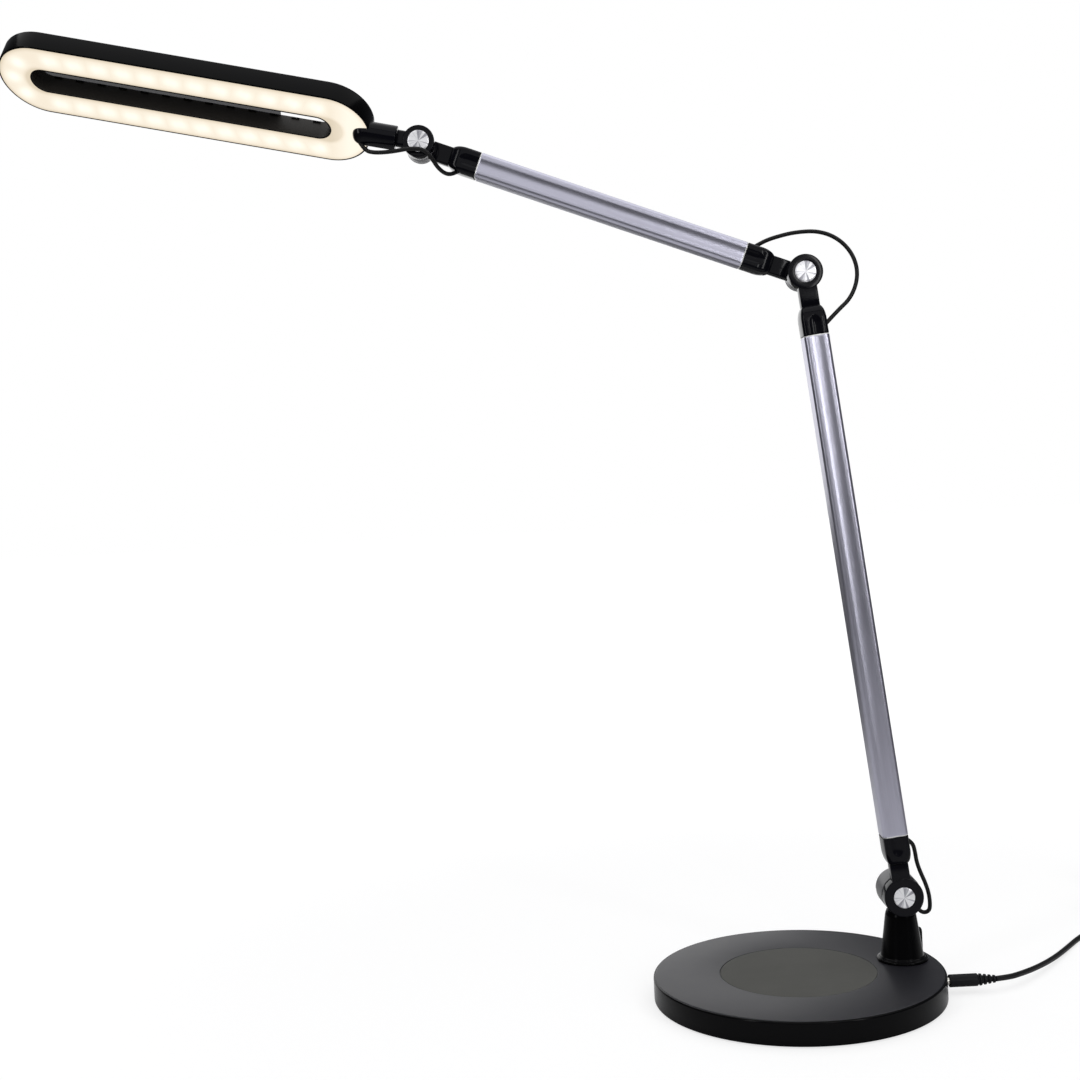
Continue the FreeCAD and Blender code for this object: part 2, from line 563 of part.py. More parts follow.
# ---------------------------------------------------------------- arms
def tube(name, place, start, length):
    """Rounded-square tube with a shallow flute down its front and back."""
    outer = bar(name + "_outer", "tube_width", "tube_depth", length, "tube_corner", start)
    inner = bar(name + "_inner", "tube_width - 2 * tube_wall", "tube_depth - 2 * tube_wall",
                f"({length}) + 2 * over", "tube_corner - tube_wall", f"({start}) - over")
    sweep = "flute_width ^ 2 / (8 * flute_depth) + flute_depth / 2"
    side = f"tube_depth / 2 - flute_depth + ({sweep})"
    flutes = [rod(sweep, f"({length}) + 2 * over", (0, f"({sign}) * ({side})", f"({start}) - over"))
              for sign in (-1, 1)]
    return node(name, cut(outer, inner, *flutes), place)


def end_cap(name, place, cut_at, way, entry):
    """Cap with rounded shoulders; way +1 runs on from the cut, -1 back from it."""
    low = cut_at if way > 0 else f"({cut_at}) - end_cap_length"
    shell = bar(name + "_shell", "tube_width", "tube_depth", "end_cap_length", "tube_corner", low)
    front = pad_outline(name + "_front", "XZ_Plane",
                        rectangle("tube_width + outline_over", "end_cap_length", low),
                        "tube_depth + 2 * over", midplane=True)
    flank = pad_outline(name + "_flank", "YZ_Plane",
                        rectangle("tube_depth + outline_over", "end_cap_length", low),
                        "tube_width + 2 * over", midplane=True)
    limit = float(sheet.evalExpression(bound(low)))
    tip = limit + mm("end_cap_length") if way > 0 else limit
    for body, direction in ((front, V(0, 1, 0)), (flank, V(1, 0, 0))):
        soften(body, "cap_round", lambda edge, d=direction:
               along(edge, d) and abs(edge.Vertexes[0].Point.z - tip) < 0.01)
    plug_low = f"({cut_at}) - cap_spigot + over" if way > 0 else f"({cut_at}) - over"
    spigot = block(("tube_width - 2 * (tube_wall + cap_fit + spigot_step)",
                    "tube_depth - 2 * (tube_wall + cap_fit + spigot_step)", "cap_spigot"),
                   (0, 0, plug_low))
    solid = fuse(common(common(shell, front), flank), spigot)
    slot_low = f"({cut_at}) - cap_spigot" if way > 0 else f"({cut_at}) - end_cap_length - over"
    way_through = block(("neck_width - tang_narrow + 2 * tang_fit",
                         "eye_thick - tang_thin + 2 * tang_fit",
                         "end_cap_length + cap_spigot + over"), (0, 0, slot_low))
    piece = cut(solid, way_through)
    return node(name, cut(piece, entry_hole(entry, place)), place)


def arm_neck(name, place, height, way, reach):
    """Flat neck that carries a rear barrel, on the upper arm's own middle plane."""
    start = (f"({height}) + arm_barrel_dia / 2 + barrel_fit - neck_root" if way > 0
             else f"({height}) - ({reach})")
    tang_at = (f"({height}) + ({reach}) - tang_root" if way > 0
               else f"({height}) - ({reach}) - neck_tang + tang_root")
    neck = block(("neck_width", "eye_thick",
                  f"({reach}) - arm_barrel_dia / 2 - barrel_fit + neck_root"), (0, 0, start))
    stem = block(("neck_width - tang_narrow", "eye_thick - tang_thin", "neck_tang"), (0, 0, tang_at))
    barrel_room = rod("arm_barrel_dia / 2 + barrel_fit", "through", (0, "-through / 2", height), "y")
    return node(name, cut(fuse(neck, stem), barrel_room), place)


def arm_barrel(name, place, height, length):
    """Turned barrel behind an eye; returns the cap that closes its back."""
    front = "eye_thick + hinge_gap - upper_back"
    node(name, cut(rod("arm_barrel_dia / 2", length, (0, front, height), "y"),
                   *barrel_cuts(front, length, height)), place)
    return rod("arm_barrel_dia / 2 - barrel_cap_step", "barrel_cap_length",
               (0, f"{front} + ({length}) + rear_cap_gap", height), "y")


def make_lower_arm():
    neck = "lower_end - end_cap_length"
    far = "lower_length"
    tube("lower_tube", LOWER, "lower_end", f"{far} - 2 * lower_end")
    end_cap("lower_cap_bottom", LOWER, "lower_end", -1, BASE_LEAD)
    end_cap("lower_cap_top", LOWER, f"{far} - lower_end", 1, ELBOW_LEAD[::-1])
    eye("base_eye", LOWER, "base_eye_dia", neck, "neck_tang")
    eye("elbow_eye", LOWER, "elbow_eye_dia", neck, "neck_tang", far, -1)
    hinge_cap("base_hinge_cap", LOWER)
    hinge_cap("elbow_hinge_cap", LOWER, far)
    node("lower_wire", rod("wire_dia / 2", f"{far} - 2 * lower_end - 2 * cap_spigot",
                           ("wire_offset", 0, "lower_end + cap_spigot")), LOWER)


def make_upper_arm():
    neck = "upper_end - end_cap_length"
    far = "upper_length"
    tube("upper_tube", UPPER, "upper_end", f"{far} - 2 * upper_end")
    end_cap("upper_cap_elbow", UPPER, "upper_end", -1, ELBOW_LEAD)
    end_cap("upper_cap_head", UPPER, f"{far} - upper_end", 1, HEAD_LEAD_ARM)
    arm_neck("upper_neck_elbow", UPPER, "0", 1, neck)
    arm_neck("upper_neck_head", UPPER, far, -1, neck)
    rear_caps = [arm_barrel("elbow_barrel", UPPER, "0", "elbow_barrel_length"),
                 arm_barrel("head_hinge_barrel", UPPER, far, "head_barrel_length")]
    node("barrel_rear_caps", group(rear_caps), UPPER)
    node("upper_wire", rod("wire_dia / 2", f"{far} - 2 * upper_end - 2 * cap_spigot",
                           ("wire_offset", 0, "upper_end + cap_spigot")), UPPER)


def make_hinges():
    base = hinge_parts(frame(BASE_AT[0], EYE_FRONT, BASE_AT[1]), "0", "base_barrel_length")
    elbow = hinge_parts(frame(ELBOW_AT[0], EYE_FRONT, ELBOW_AT[1]), "0", "elbow_barrel_length")
    head = hinge_parts(frame(HEAD_AT[0], EYE_FRONT, HEAD_AT[1]), "0", "head_barrel_length")
    for kind, at_base, at_elbow, at_head in zip(("bolt", "nut", "washer"), base, elbow, head):
        node(f"base_hinge_{kind}", at_base)
        node(f"arm_hinge_{kind}s", group([at_elbow, at_head]))


# ---------------------------------------------------------------- lamp head
def make_knuckle():
    disc = rod("head_eye_dia / 2", "eye_thick", (0, "-eye_thick / 2", 0), "y")
    neck = rod("roll_neck_dia / 2", "sleeve_near - sleeve_gap", (0, 0, 0))
    flat = block(("roll_neck_dia + 2 * over", "eye_thick", "sleeve_near - sleeve_gap"), (0, 0, 0))
    pin = rod("roll_pin_dia / 2", "roll_pin_length + 2 * over", (0, 0, "sleeve_near - 2 * over"))
    pin_end = "(sleeve_near + roll_pin_length)"
    groove = cut(rod("roll_pin_dia", "clip_groove", (0, 0, f"{pin_end} - clip_back")),
                 rod("roll_pin_dia / 2 - clip_deep", "clip_groove + 2 * over",
                     (0, 0, f"{pin_end} - clip_back - over")))
    solid = fuse(disc, common(neck, flat), pin)
    node("head_knuckle", cut(solid, *eye_cuts(), groove), KNUCKLE)
    hinge_cap("head_hinge_cap", KNUCKLE)
    clip_low = f"{pin_end} - clip_back + (clip_groove - clip_thick) / 2"
    clip = cut(rod("roll_pin_dia / 2 + clip_width", "clip_thick", (0, 0, clip_low)),
               rod("roll_pin_dia / 2 - clip_deep + thread_fit", "clip_thick + 2 * over",
                   (0, 0, f"{clip_low} - over")),
               block(("roll_pin_dia / 2", "roll_pin_dia - 2 * over", "clip_thick + 2 * over"),
                     ("roll_pin_dia / 2", 0, f"{clip_low} - over")))
    node("roll_clip", clip, KNUCKLE)


def stadium(name, wide, near, length, low, high):
    """Long round-ended plate in the head's frame: X is thickness, Y is width, Z is length."""
    deep = f"({high}) - ({low})"
    middle = block((deep, wide, f"({length}) - ({wide})"),
                   (f"(({high}) + ({low})) / 2", 0, f"({near}) + ({wide}) / 2"))
    ends = [rod(f"({wide}) / 2", deep, (low, 0, at), "x")
            for at in (f"({near}) + ({wide}) / 2", f"({near}) + ({length}) - ({wide}) / 2")]
    return fuse(middle, *ends)


def ring(name, inset, low, high, slot_grow="0"):
    """Stadium plate with the long slot; the face looks along local -X."""
    outer = stadium(name, f"head_width - 2 * ({inset})", f"head_near + ({inset})",
                    f"head_length - 2 * ({inset})", low, high)
    slot = stadium(name + "_slot", f"slot_width + 2 * ({slot_grow})",
                   f"slot_near - ({slot_grow})", f"slot_length + 2 * ({slot_grow})",
                   f"({low}) - over", f"({high}) + over")
    return cut(outer, slot)


def collar_room(gap, run="0"):
    """Room for the sleeve where it enters the near end of the head."""
    return rod(f"sleeve_dia / 2 + {gap}", f"sleeve_far + collar_run + {run} - head_near",
               (0, 0, "head_near - collar_depth"))


def screw_rooms(low, length):
    return [rod("head_screw_dia / 2 + head_screw_clear", length, (low, y, z), "x")
            for y, z in head_screw_points()]


FACE = "-head_face"
BACK = "head_thick - head_face"


def make_head():
    shell = ring("housing", "0", FACE, BACK)
    channel = ring("channel", "head_wall", f"{FACE} - over", f"{BACK} - head_wall", "head_wall")
    holes = screw_rooms(f"{BACK} - head_wall - over", "head_wall + 2 * over")
    node("head_housing", cut(shell, channel, collar_room("collar_gap"), *holes), HEAD)

    plate = ring("diffuser_plate", "head_wall + diffuser_gap", f"{FACE} + diffuser_inset",
                 f"{FACE} + diffuser_inset + diffuser_thick", "head_wall + diffuser_gap")
    node("diffuser", cut(plate, collar_room("diffuser_collar_gap", "collar_run")), HEAD)

    board_low = f"{FACE} + led_board_depth"
    board = ring("board", "head_wall + board_gap", board_low, f"{board_low} + led_board_thick",
                 "head_wall + board_gap")
    board_holes = screw_rooms(f"{board_low} - over", "led_board_thick + 2 * over")
    node("led_board", cut(board, collar_room("board_collar_gap", "collar_run + over"),
                          *board_holes), HEAD)
    node("led_chips", group(led_chips(board_low)), HEAD)
    make_heat_plate(board_low)
    make_bracket()
    make_teeth()
    make_screen()
    make_head_screws(board_low)


def head_screw_points():
    lane = "(slot_width + head_width) / 4"
    return [(f"({side}) * {lane}", f"head_near + head_length * {share}")
            for side in (-1, 1) for share in (0.25, 0.5, 0.75)]


def led_chips(board_low):
    """Chips in two lanes, and round the far end."""
    lane = mm("slot_width") / 4 + mm("head_width") / 4
    near = mm("head_near") + mm("head_width") / 2
    straight = mm("head_length") - mm("head_width")
    count = int(straight // mm("led_pitch")) + 1
    start = (straight - (count - 1) * mm("led_pitch")) / 2
    places = [(side * lane, near + start + k * mm("led_pitch"))
              for side in (-1, 1) for k in range(count)]
    steps = 3
    for k in range(1, steps + 1):
        angle = math.pi * k / (steps + 1)
        places.append((lane * math.cos(angle), near + straight + lane * math.sin(angle)))
    return [block(("led_thick", "led_side", "led_side"),
                  (f"{board_low} - 0.02 - led_thick / 2", y, f"{z} - led_side / 2"))
            for y, z in places]


def make_heat_plate(board_low):
    sheet_low = f"{board_low} + led_board_thick + sheet_gap"
    plate = ring("heat", "head_wall + board_gap", sheet_low, f"{BACK} - head_wall - sheet_gap",
                 "head_wall + board_gap")
    holes = screw_rooms(f"{sheet_low} - over", f"{BACK} - ({sheet_low}) + over")
    node("heat_plate", cut(plate, collar_room("board_collar_gap", "collar_run + over"), *holes),
         HEAD)


def make_head_screws(board_low):
    screws = []
    for y, z in head_screw_points():
        head = rod("head_screw_head / 2", "head_screw_head_thick",
                   (f"{board_low} - head_screw_head_thick - sheet_gap", y, z), "x")
        shank = rod("head_screw_dia / 2", f"{BACK} - ({board_low})",
                    (f"{board_low} - head_screw_head_thick / 4", y, z), "x")
        screws.append(fuse(head, shank))
    node("head_screws", group(screws), HEAD)


def make_bracket():
    """Sleeve on the roll pin, with a jaw that laps over the face."""
    sleeve = rod("sleeve_dia / 2", "sleeve_far - sleeve_near", (0, 0, "sleeve_near"))
    jaw = stadium("jaw", "jaw_width", "head_near + jaw_reach - jaw_width",
                  "jaw_width + jaw_run", f"{FACE} - jaw_thick", f"{FACE} - jaw_gap")
    bore = rod("roll_pin_dia / 2 + swivel_fit", "roll_pin_length", (0, 0, "sleeve_near - over"))
    room = rod("roll_pin_dia / 2 + clip_room", "6 * over",
               (0, 0, "sleeve_near + roll_pin_length - 3 * over"))
    bracket = cut(fuse(sleeve, jaw), bore, room)
    node("head_bracket", cut(bracket, entry_hole(HEAD_LEAD_NECK[::-1], HEAD)), HEAD)


def make_teeth():
    """Row of small clip teeth along the back edge of the slot."""
    count = int((mm("slot_length") - mm("slot_width")) // mm("tooth_pitch")) + 1
    start = mm("slot_near") + mm("slot_length") / 2 - (count - 1) * mm("tooth_pitch") / 2
    teeth = [block(("tooth_high", "tooth_deep", "tooth_length"),
                   (f"{BACK} - tooth_high / 2 - tooth_inset",
                    f"({side}) * (slot_width / 2 - tooth_deep / 2 - tooth_fit)",
                    f"{start + k * mm('tooth_pitch')} - tooth_length / 2"))
             for side in (-1, 1) for k in range(count)]
    node("slot_teeth", group(teeth), HEAD)


def make_screen():
    """Smoked strip that closes the back of the slot from its far end."""
    radius = "(slot_width / 2 - screen_fit)"
    far = "(slot_near + slot_length - slot_width / 2)"
    near = "(slot_near + slot_length - screen_length)"
    low = f"{BACK} - screen_inset - screen_thick"
    strip = block(("screen_thick", f"2 * {radius}", f"{far} - {near}"),
                  (f"{low} + screen_thick / 2", 0, near))
    node("slot_screen", fuse(strip, rod(radius, "screen_thick", (low, 0, far), "x")), HEAD)


# ---------------------------------------------------------------- leads
def bend_radii(points):
    """Radius of the arc at each inner point: 0.45 of the shorter run over tan(half the turn)."""
    radii = []
    for a, b, c in zip(points, points[1:], points[2:]):
        turn = (b - a).getAngle(c - b)
        radii.append(0.45 * min((b - a).Length, (c - b).Length) / math.tan(turn / 2))
    return radii


def tube_path(points):
    """Straight runs joined by tangent arcs."""
    edges, start = [], points[0]
    for a, b, c, radius in zip(points, points[1:], points[2:], bend_radii(points)):
        back, ahead = (a - b).normalize(), (c - b).normalize()
        turn = (b - a).getAngle(c - b)
        trim = radius * math.tan(turn / 2)
        first, last = b + back * trim, b + ahead * trim
        bisector = (back + ahead).normalize()
        middle = b + bisector * (radius / math.cos(turn / 2) - radius)
        edges.append(Part.LineSegment(start, first).toShape())
        edges.append(Part.Arc(first, middle, last).toShape())
        start = last
    edges.append(Part.LineSegment(start, points[-1]).toShape())
    return Part.Wire(edges)


def lead(name, route, dia):
    """A round lead swept along a hand-chosen route of points in the lamp's frame."""
    points = [V(*p) for p in route]
    path = tube_path(points)
    ring_edge = Part.Circle(points[0], points[1] - points[0], dia / 2).toShape()
    solid = path.makePipeShell([Part.Wire(ring_edge)], True, False)
    obj = doc.addObject("Part::Feature", name + "_solid")
    obj.Shape = solid
    radii = ", ".join(f"{r / dia:.1f}" for r in bend_radii(points))
    whole = math.pi * dia ** 2 / 4 * path.Length
    print(f"{name}: length {path.Length:.1f} mm, radii in diameters {radii},",
          f"volume {solid.Volume / whole:.4f} of section times length")
    return obj


def make_leads():
    for name, route in (("base_lead", BASE_LEAD), ("elbow_lead", ELBOW_LEAD),
                        ("head_lead_arm", HEAD_LEAD_ARM), ("head_lead_neck", HEAD_LEAD_NECK)):
        node(name, lead(name, route, mm("wire_dia")))


# ---------------------------------------------------------------- supply cord
PLUG_FACE = "base_dia / 2 + plug_gap"
COIL_AT = (322, 168)
CORD_ROUTE = [(149.5, -11.4, 9.5), (161, -8, 9.1), (173.5, 2.4, 8.1), (187, 16, 6.7),
              (202, 33.5, 5.1), (217, 53, 3.7), (234, 77.5, 2.5), (252, 103, 2.1),
              (272, 124.5, 2.1), (296, 138, 2.1), (322, 139.8, 2.1)]
TAIL_ROUTE = [(350.2, 168, 6.3), (350.6, 179, 6.3), (352.4, 189, 7.2), (353, 197, 8)]
ADAPTER_AT = (353, 242)


def make_plug():
    axis_at = ("jack_side", "jack_height")
    body = rod("plug_dia / 2", "plug_length", (PLUG_FACE, *axis_at), "x")
    barrel = rod("plug_barrel_dia / 2", "plug_barrel_length + plug_gap",
                 (f"{PLUG_FACE} - plug_barrel_length - plug_gap", *axis_at), "x")
    bore = rod("jack_pin_dia / 2 + jack_fit", "plug_barrel_length",
               (f"{PLUG_FACE} - plug_barrel_length - plug_gap - jack_seat_gap", *axis_at), "x")
    node("dc_plug", cut(fuse(body, barrel), bore))
    boot_at = f"{PLUG_FACE} + plug_length + boot_gap"
    cores = cone("plug_dia / 2 - boot_waist", "boot_tip_dia / 2", "boot_length",
                 (boot_at, *axis_at), "x")
    ribs = [cone(f"plug_dia / 2 - boot_taper / 2 - {k} * boot_step",
                 f"plug_dia / 2 - boot_taper * 3 / 2 - {k} * boot_step", "boot_rib",
                 (f"{boot_at} + {k} * boot_length / 4 + over", *axis_at), "x") for k in range(4)]
    node("plug_boot", fuse(cores, *ribs))


def make_cord():
    """The lead from the plug to the coil, and its short tail on to the adapter."""
    runs = [lead("power_cord", CORD_ROUTE, mm("cord_dia")),
            lead("cord_tail", TAIL_ROUTE, mm("cord_dia"))]
    node("power_cord", group(runs))


def make_coil():
    """Closed solid of the coil's outer shape, wound flat on the table."""
    turns_wide = mm("coil_layers")
    inner = mm("coil_dia") / 2 - turns_wide * mm("cord_dia") / 2
    outer = mm("coil_dia") / 2 + turns_wide * mm("cord_dia") / 2
    body = cut(rod(f"{outer}", "coil_layers * cord_dia", (*COIL_AT, 0)),
               rod(f"{inner}", "coil_layers * cord_dia + 2 * over", (*COIL_AT, "-over")))
    node("cord_coil", body)


def make_tie():
    """Strap round the coil's turns, on the side nearest the lamp."""
    x, y = COIL_AT
    turns = "coil_layers * cord_dia"
    out = block((f"{turns} + 2 * (tie_gap + tie_thick)", "tie_width",
                 f"{turns} + tie_top_gap + tie_top"), (f"{x} - coil_dia / 2", y, 0))
    gap = block((f"{turns} + 2 * tie_gap", "tie_width + 2 * over", f"{turns} + tie_top_gap"),
                (f"{x} - coil_dia / 2", y, 0))
    node("cord_tie", cut(out, gap))


def make_adapter():
    x, y = ADAPTER_AT
    body = block(("adapter_wide", "adapter_long", "adapter_high"), (x, y, 0))
    middle = "adapter_high / 2"
    boot = cone("cord_dia / 2 + adapter_boot_wall", "cord_dia", "boot_length",
                (x, f"{y} - adapter_long / 2 - boot_length", "adapter_exit"), "y")
    pins = [rod("pin_dia / 2", "pin_length",
                (f"{x} + ({side}) * pin_pitch / 2", f"{y} + adapter_long / 2", middle), "y")
            for side in (-1, 1)]
    node("adapter", fuse(body, boot, *pins))


make_base()
make_inlet()
make_swivel()
make_post()
make_hinges()
make_lower_arm()
make_upper_arm()
make_knuckle()
make_head()
make_leads()
make_plug()
make_cord()
make_coil()
make_tie()
make_adapter()


# ---------------------------------------------------------------- checks and files
def write_parts():
    doc.recompute()
    failed = [o.Name for o in doc.Objects if {"Invalid", "Error"} & set(o.State)]
    broken = [name for name, obj in NODES.items() if obj.Shape.isNull() or not obj.Shape.isValid()]
    if failed or broken:
        raise SystemExit(f"failed objects {failed}, broken shapes {broken}")
    os.makedirs("parts", exist_ok=True)
    for name, obj in NODES.items():
        print(f"{name}: {len(obj.Shape.Solids)} solid, {obj.Shape.Volume:.0f} mm3")
        obj.Shape.exportStep(f"parts/{name}.step")


write_parts()
print(len(NODES), "sub-parts")
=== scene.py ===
import math

import bmesh
import bpy
import numpy as np
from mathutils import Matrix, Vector
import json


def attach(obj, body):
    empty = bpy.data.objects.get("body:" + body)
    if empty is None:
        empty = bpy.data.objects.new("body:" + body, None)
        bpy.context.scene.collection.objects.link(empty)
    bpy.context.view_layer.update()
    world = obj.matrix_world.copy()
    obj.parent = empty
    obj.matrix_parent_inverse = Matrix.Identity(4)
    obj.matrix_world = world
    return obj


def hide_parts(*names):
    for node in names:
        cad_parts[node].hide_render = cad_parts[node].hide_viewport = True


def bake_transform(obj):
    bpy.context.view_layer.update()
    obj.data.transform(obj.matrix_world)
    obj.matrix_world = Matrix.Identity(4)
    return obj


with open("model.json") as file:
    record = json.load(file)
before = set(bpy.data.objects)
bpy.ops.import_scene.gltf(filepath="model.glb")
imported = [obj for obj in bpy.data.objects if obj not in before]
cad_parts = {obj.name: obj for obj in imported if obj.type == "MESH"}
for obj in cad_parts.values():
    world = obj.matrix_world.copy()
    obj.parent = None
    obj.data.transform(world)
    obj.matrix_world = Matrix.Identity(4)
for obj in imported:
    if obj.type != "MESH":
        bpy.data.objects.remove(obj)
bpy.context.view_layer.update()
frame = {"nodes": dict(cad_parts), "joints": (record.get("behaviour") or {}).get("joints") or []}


# ---------------------------------------------------------------- camera
# Normal lens a little over a metre in front of the lamp, level with the elbow of a
# seated reader, held a few degrees off upright.
camera_data = bpy.data.cameras.new("camera")
camera_data.sensor_width = 36.0
camera_data.lens = 36.0 * 1520 / 1080
camera_data.clip_start, camera_data.clip_end = 0.05, 60
camera = bpy.data.objects.new("camera", camera_data)
bpy.context.scene.collection.objects.link(camera)
camera.location = (-0.1722, -1.1685, 0.3997)
camera.rotation_euler = [math.radians(a) for a in (88.2127, 2.9641, 0.4150)]
bpy.context.scene.camera = camera


# ---------------------------------------------------------------- base
# A moulded shell ring with a rounded shoulder, a satin cover disc let into it, a matt rubber
# inlay on the cover and a soft pad below. The cast disc and the plate inside stay hidden.
def fine_grain():
    """Node group: Roughness is the base value plus slow blotches, Height is a fine grain."""
    group = bpy.data.node_groups.new("fine_grain", "ShaderNodeTree")
    for name, value in (("Scale", 900.0), ("Blotches", 25.0), ("Base", 0.4), ("Spread", 0.1)):
        group.interface.new_socket(name, in_out="INPUT", socket_type="NodeSocketFloat")
        group.interface.items_tree[name].default_value = value
    for name in ("Roughness", "Height", "Mask"):
        group.interface.new_socket(name, in_out="OUTPUT", socket_type="NodeSocketFloat")
    nodes, links = group.nodes, group.links
    given, made = nodes.new("NodeGroupInput"), nodes.new("NodeGroupOutput")
    place = nodes.new("ShaderNodeTexCoord")
    grain, slow = nodes.new("ShaderNodeTexNoise"), nodes.new("ShaderNodeTexNoise")
    grain.inputs["Detail"].default_value = 2
    slow.inputs["Detail"].default_value = 4
    slow.inputs["Roughness"].default_value = 0.6
    spread = nodes.new("ShaderNodeMath")
    spread.operation = "MULTIPLY_ADD"
    centred = nodes.new("ShaderNodeMath")
    centred.operation = "SUBTRACT"
    centred.inputs[1].default_value = 0.5
    for noise, scale in ((grain, "Scale"), (slow, "Blotches")):
        links.new(place.outputs["Object"], noise.inputs["Vector"])
        links.new(given.outputs[scale], noise.inputs["Scale"])
    links.new(slow.outputs["Fac"], centred.inputs[0])
    links.new(centred.outputs[0], spread.inputs[0])
    links.new(given.outputs["Spread"], spread.inputs[1])
    links.new(given.outputs["Base"], spread.inputs[2])
    links.new(spread.outputs[0], made.inputs["Roughness"])
    links.new(grain.outputs["Fac"], made.inputs["Height"])
    links.new(slow.outputs["Fac"], made.inputs["Mask"])
    return group


GRAIN = fine_grain()


def finish(name, colour, roughness, spread=0.1, grain=900, blotches=25, bump=0.1, depth=2e-5,
           metallic=0.0, specular=0.5, tint=0.06):
    """A moulded or metal finish: one colour that drifts by tint, blotched gloss, fine grain."""
    material = bpy.data.materials.new(name)
    material.use_nodes = True
    nodes, links = material.node_tree.nodes, material.node_tree.links
    shader = nodes["Principled BSDF"]
    shader.inputs["Metallic"].default_value = metallic
    shader.inputs["Specular IOR Level"].default_value = specular
    skin_of = nodes.new("ShaderNodeGroup")
    skin_of.node_tree = GRAIN
    for key, value in (("Scale", grain), ("Blotches", blotches), ("Base", roughness),
                       ("Spread", spread)):
        skin_of.inputs[key].default_value = value
    ramp = nodes.new("ShaderNodeValToRGB")
    low = [c * (1 - tint) for c in colour]
    high = [c * (1 + tint) for c in colour]
    ramp.color_ramp.elements[0].position, ramp.color_ramp.elements[1].position = 0.3, 0.7
    ramp.color_ramp.elements[0].color = (*low, 1)
    ramp.color_ramp.elements[1].color = (*high, 1)
    relief = nodes.new("ShaderNodeBump")
    relief.inputs["Strength"].default_value = bump
    relief.inputs["Distance"].default_value = depth
    links.new(skin_of.outputs["Mask"], ramp.inputs["Fac"])
    links.new(ramp.outputs["Color"], shader.inputs["Base Color"])
    links.new(skin_of.outputs["Roughness"], shader.inputs["Roughness"])
    links.new(skin_of.outputs["Height"], relief.inputs["Height"])
    links.new(relief.outputs["Normal"], shader.inputs["Normal"])
    return material


def dress(material, *names):
    """Give CAD nodes a finish in every material slot."""
    for name in names:
        mesh = frame["nodes"][name].data
        if not mesh.materials:
            mesh.materials.append(material)
        for k in range(len(mesh.materials)):
            mesh.materials[k] = material


def mount(piece, body, slot, *nodes):
    """The piece moves with a body and stands for nodes, which are hidden. The slot is not used.
    """
    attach(piece, body)
    if nodes:
        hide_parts(*nodes)


def skin(name, material, *sheets):
    """One mesh from grids of points in millimetres: rows by columns, quads between them.
    A closed grid repeats its first row or column at the end; doubles are merged, faces are
    turned outwards, and the UV map holds the lengths along each grid in metres."""
    points, faces, places, start = [], [], [], 0
    for sheet in sheets:
        sheet = np.asarray(sheet, float) / 1000
        rows, cols = sheet.shape[:2]
        corner = start + np.arange(rows - 1)[:, None] * cols + np.arange(cols - 1)
        faces.append(np.stack([corner, corner + 1, corner + cols + 1, corner + cols], -1))
        across = np.linalg.norm(np.diff(sheet, axis=1), axis=2).max(0)
        down = np.linalg.norm(np.diff(sheet, axis=0), axis=2).max(1)
        u, v = np.append(0, np.cumsum(across)), np.append(0, np.cumsum(down))
        near = np.stack(np.broadcast_arrays(u[None, :-1], v[:-1, None]), -1)
        far = np.stack(np.broadcast_arrays(u[None, 1:], v[1:, None]), -1)
        corners = [near, np.stack([far[..., 0], near[..., 1]], -1), far,
                   np.stack([near[..., 0], far[..., 1]], -1)]
        places.append(np.stack(corners, 2).reshape(-1, 2))
        points.append(sheet.reshape(-1, 3))
        start += rows * cols
    mesh = bpy.data.meshes.new(name)
    mesh.from_pydata(np.concatenate(points).tolist(), [],
                     np.concatenate([f.reshape(-1, 4) for f in faces]).tolist())
    mesh.uv_layers.new(name="lengths").data.foreach_set("uv", np.concatenate(places).ravel())
    work = bmesh.new()
    work.from_mesh(mesh)
    bmesh.ops.remove_doubles(work, verts=work.verts, dist=1e-6)
    bmesh.ops.recalc_face_normals(work, faces=work.faces)
    work.to_mesh(mesh)
    work.free()
    mesh.polygons.foreach_set("use_smooth", np.ones(len(mesh.polygons), bool))
    mesh.set_sharp_from_angle(angle=math.radians(38))
    mesh.materials.append(material)
    made = bpy.data.objects.new(name, mesh)
    bpy.context.scene.collection.objects.link(made)
    return made


def rounded(corners, steps=6):
    """Corners (a, b, radius) of a profile, each turned into a smooth curve: the square-law
    blend of the point before it, itself and the point after it."""
    corners = np.array(corners, float)
    spot, radius = corners[:, :2], corners[:, 2:]
    back, ahead = np.roll(spot, 1, 0) - spot, np.roll(spot, -1, 0) - spot
    back *= radius / np.maximum(np.linalg.norm(back, axis=1)[:, None], 1e-9)
    ahead *= radius / np.maximum(np.linalg.norm(ahead, axis=1)[:, None], 1e-9)
    t = np.linspace(0, 1, steps)[None, :, None]
    spot, back, ahead = spot[:, None], back[:, None], ahead[:, None]
    return ((1 - t) ** 2 * (spot + back) + 2 * t * (1 - t) * spot
            + t ** 2 * (spot + ahead)).reshape(-1, 2)


UPRIGHT = (np.zeros(3), np.eye(3))


def turned(corners, where=UPRIGHT, count=96, ring=False):
    """Surface of revolution: a rounded (radius, height) profile turned about the local Z axis.
    A ring profile closes on itself; any other starts and ends on the axis."""
    profile = rounded(corners)
    if ring:
        profile = np.concatenate([profile, profile[:1]])
    angle = np.linspace(0, 2 * math.pi, count + 1)[:, None]
    local = np.stack([profile[:, 0] * np.cos(angle), profile[:, 0] * np.sin(angle),
                      profile[:, 1] + 0 * angle], -1)
    return local @ where[1] + where[0]


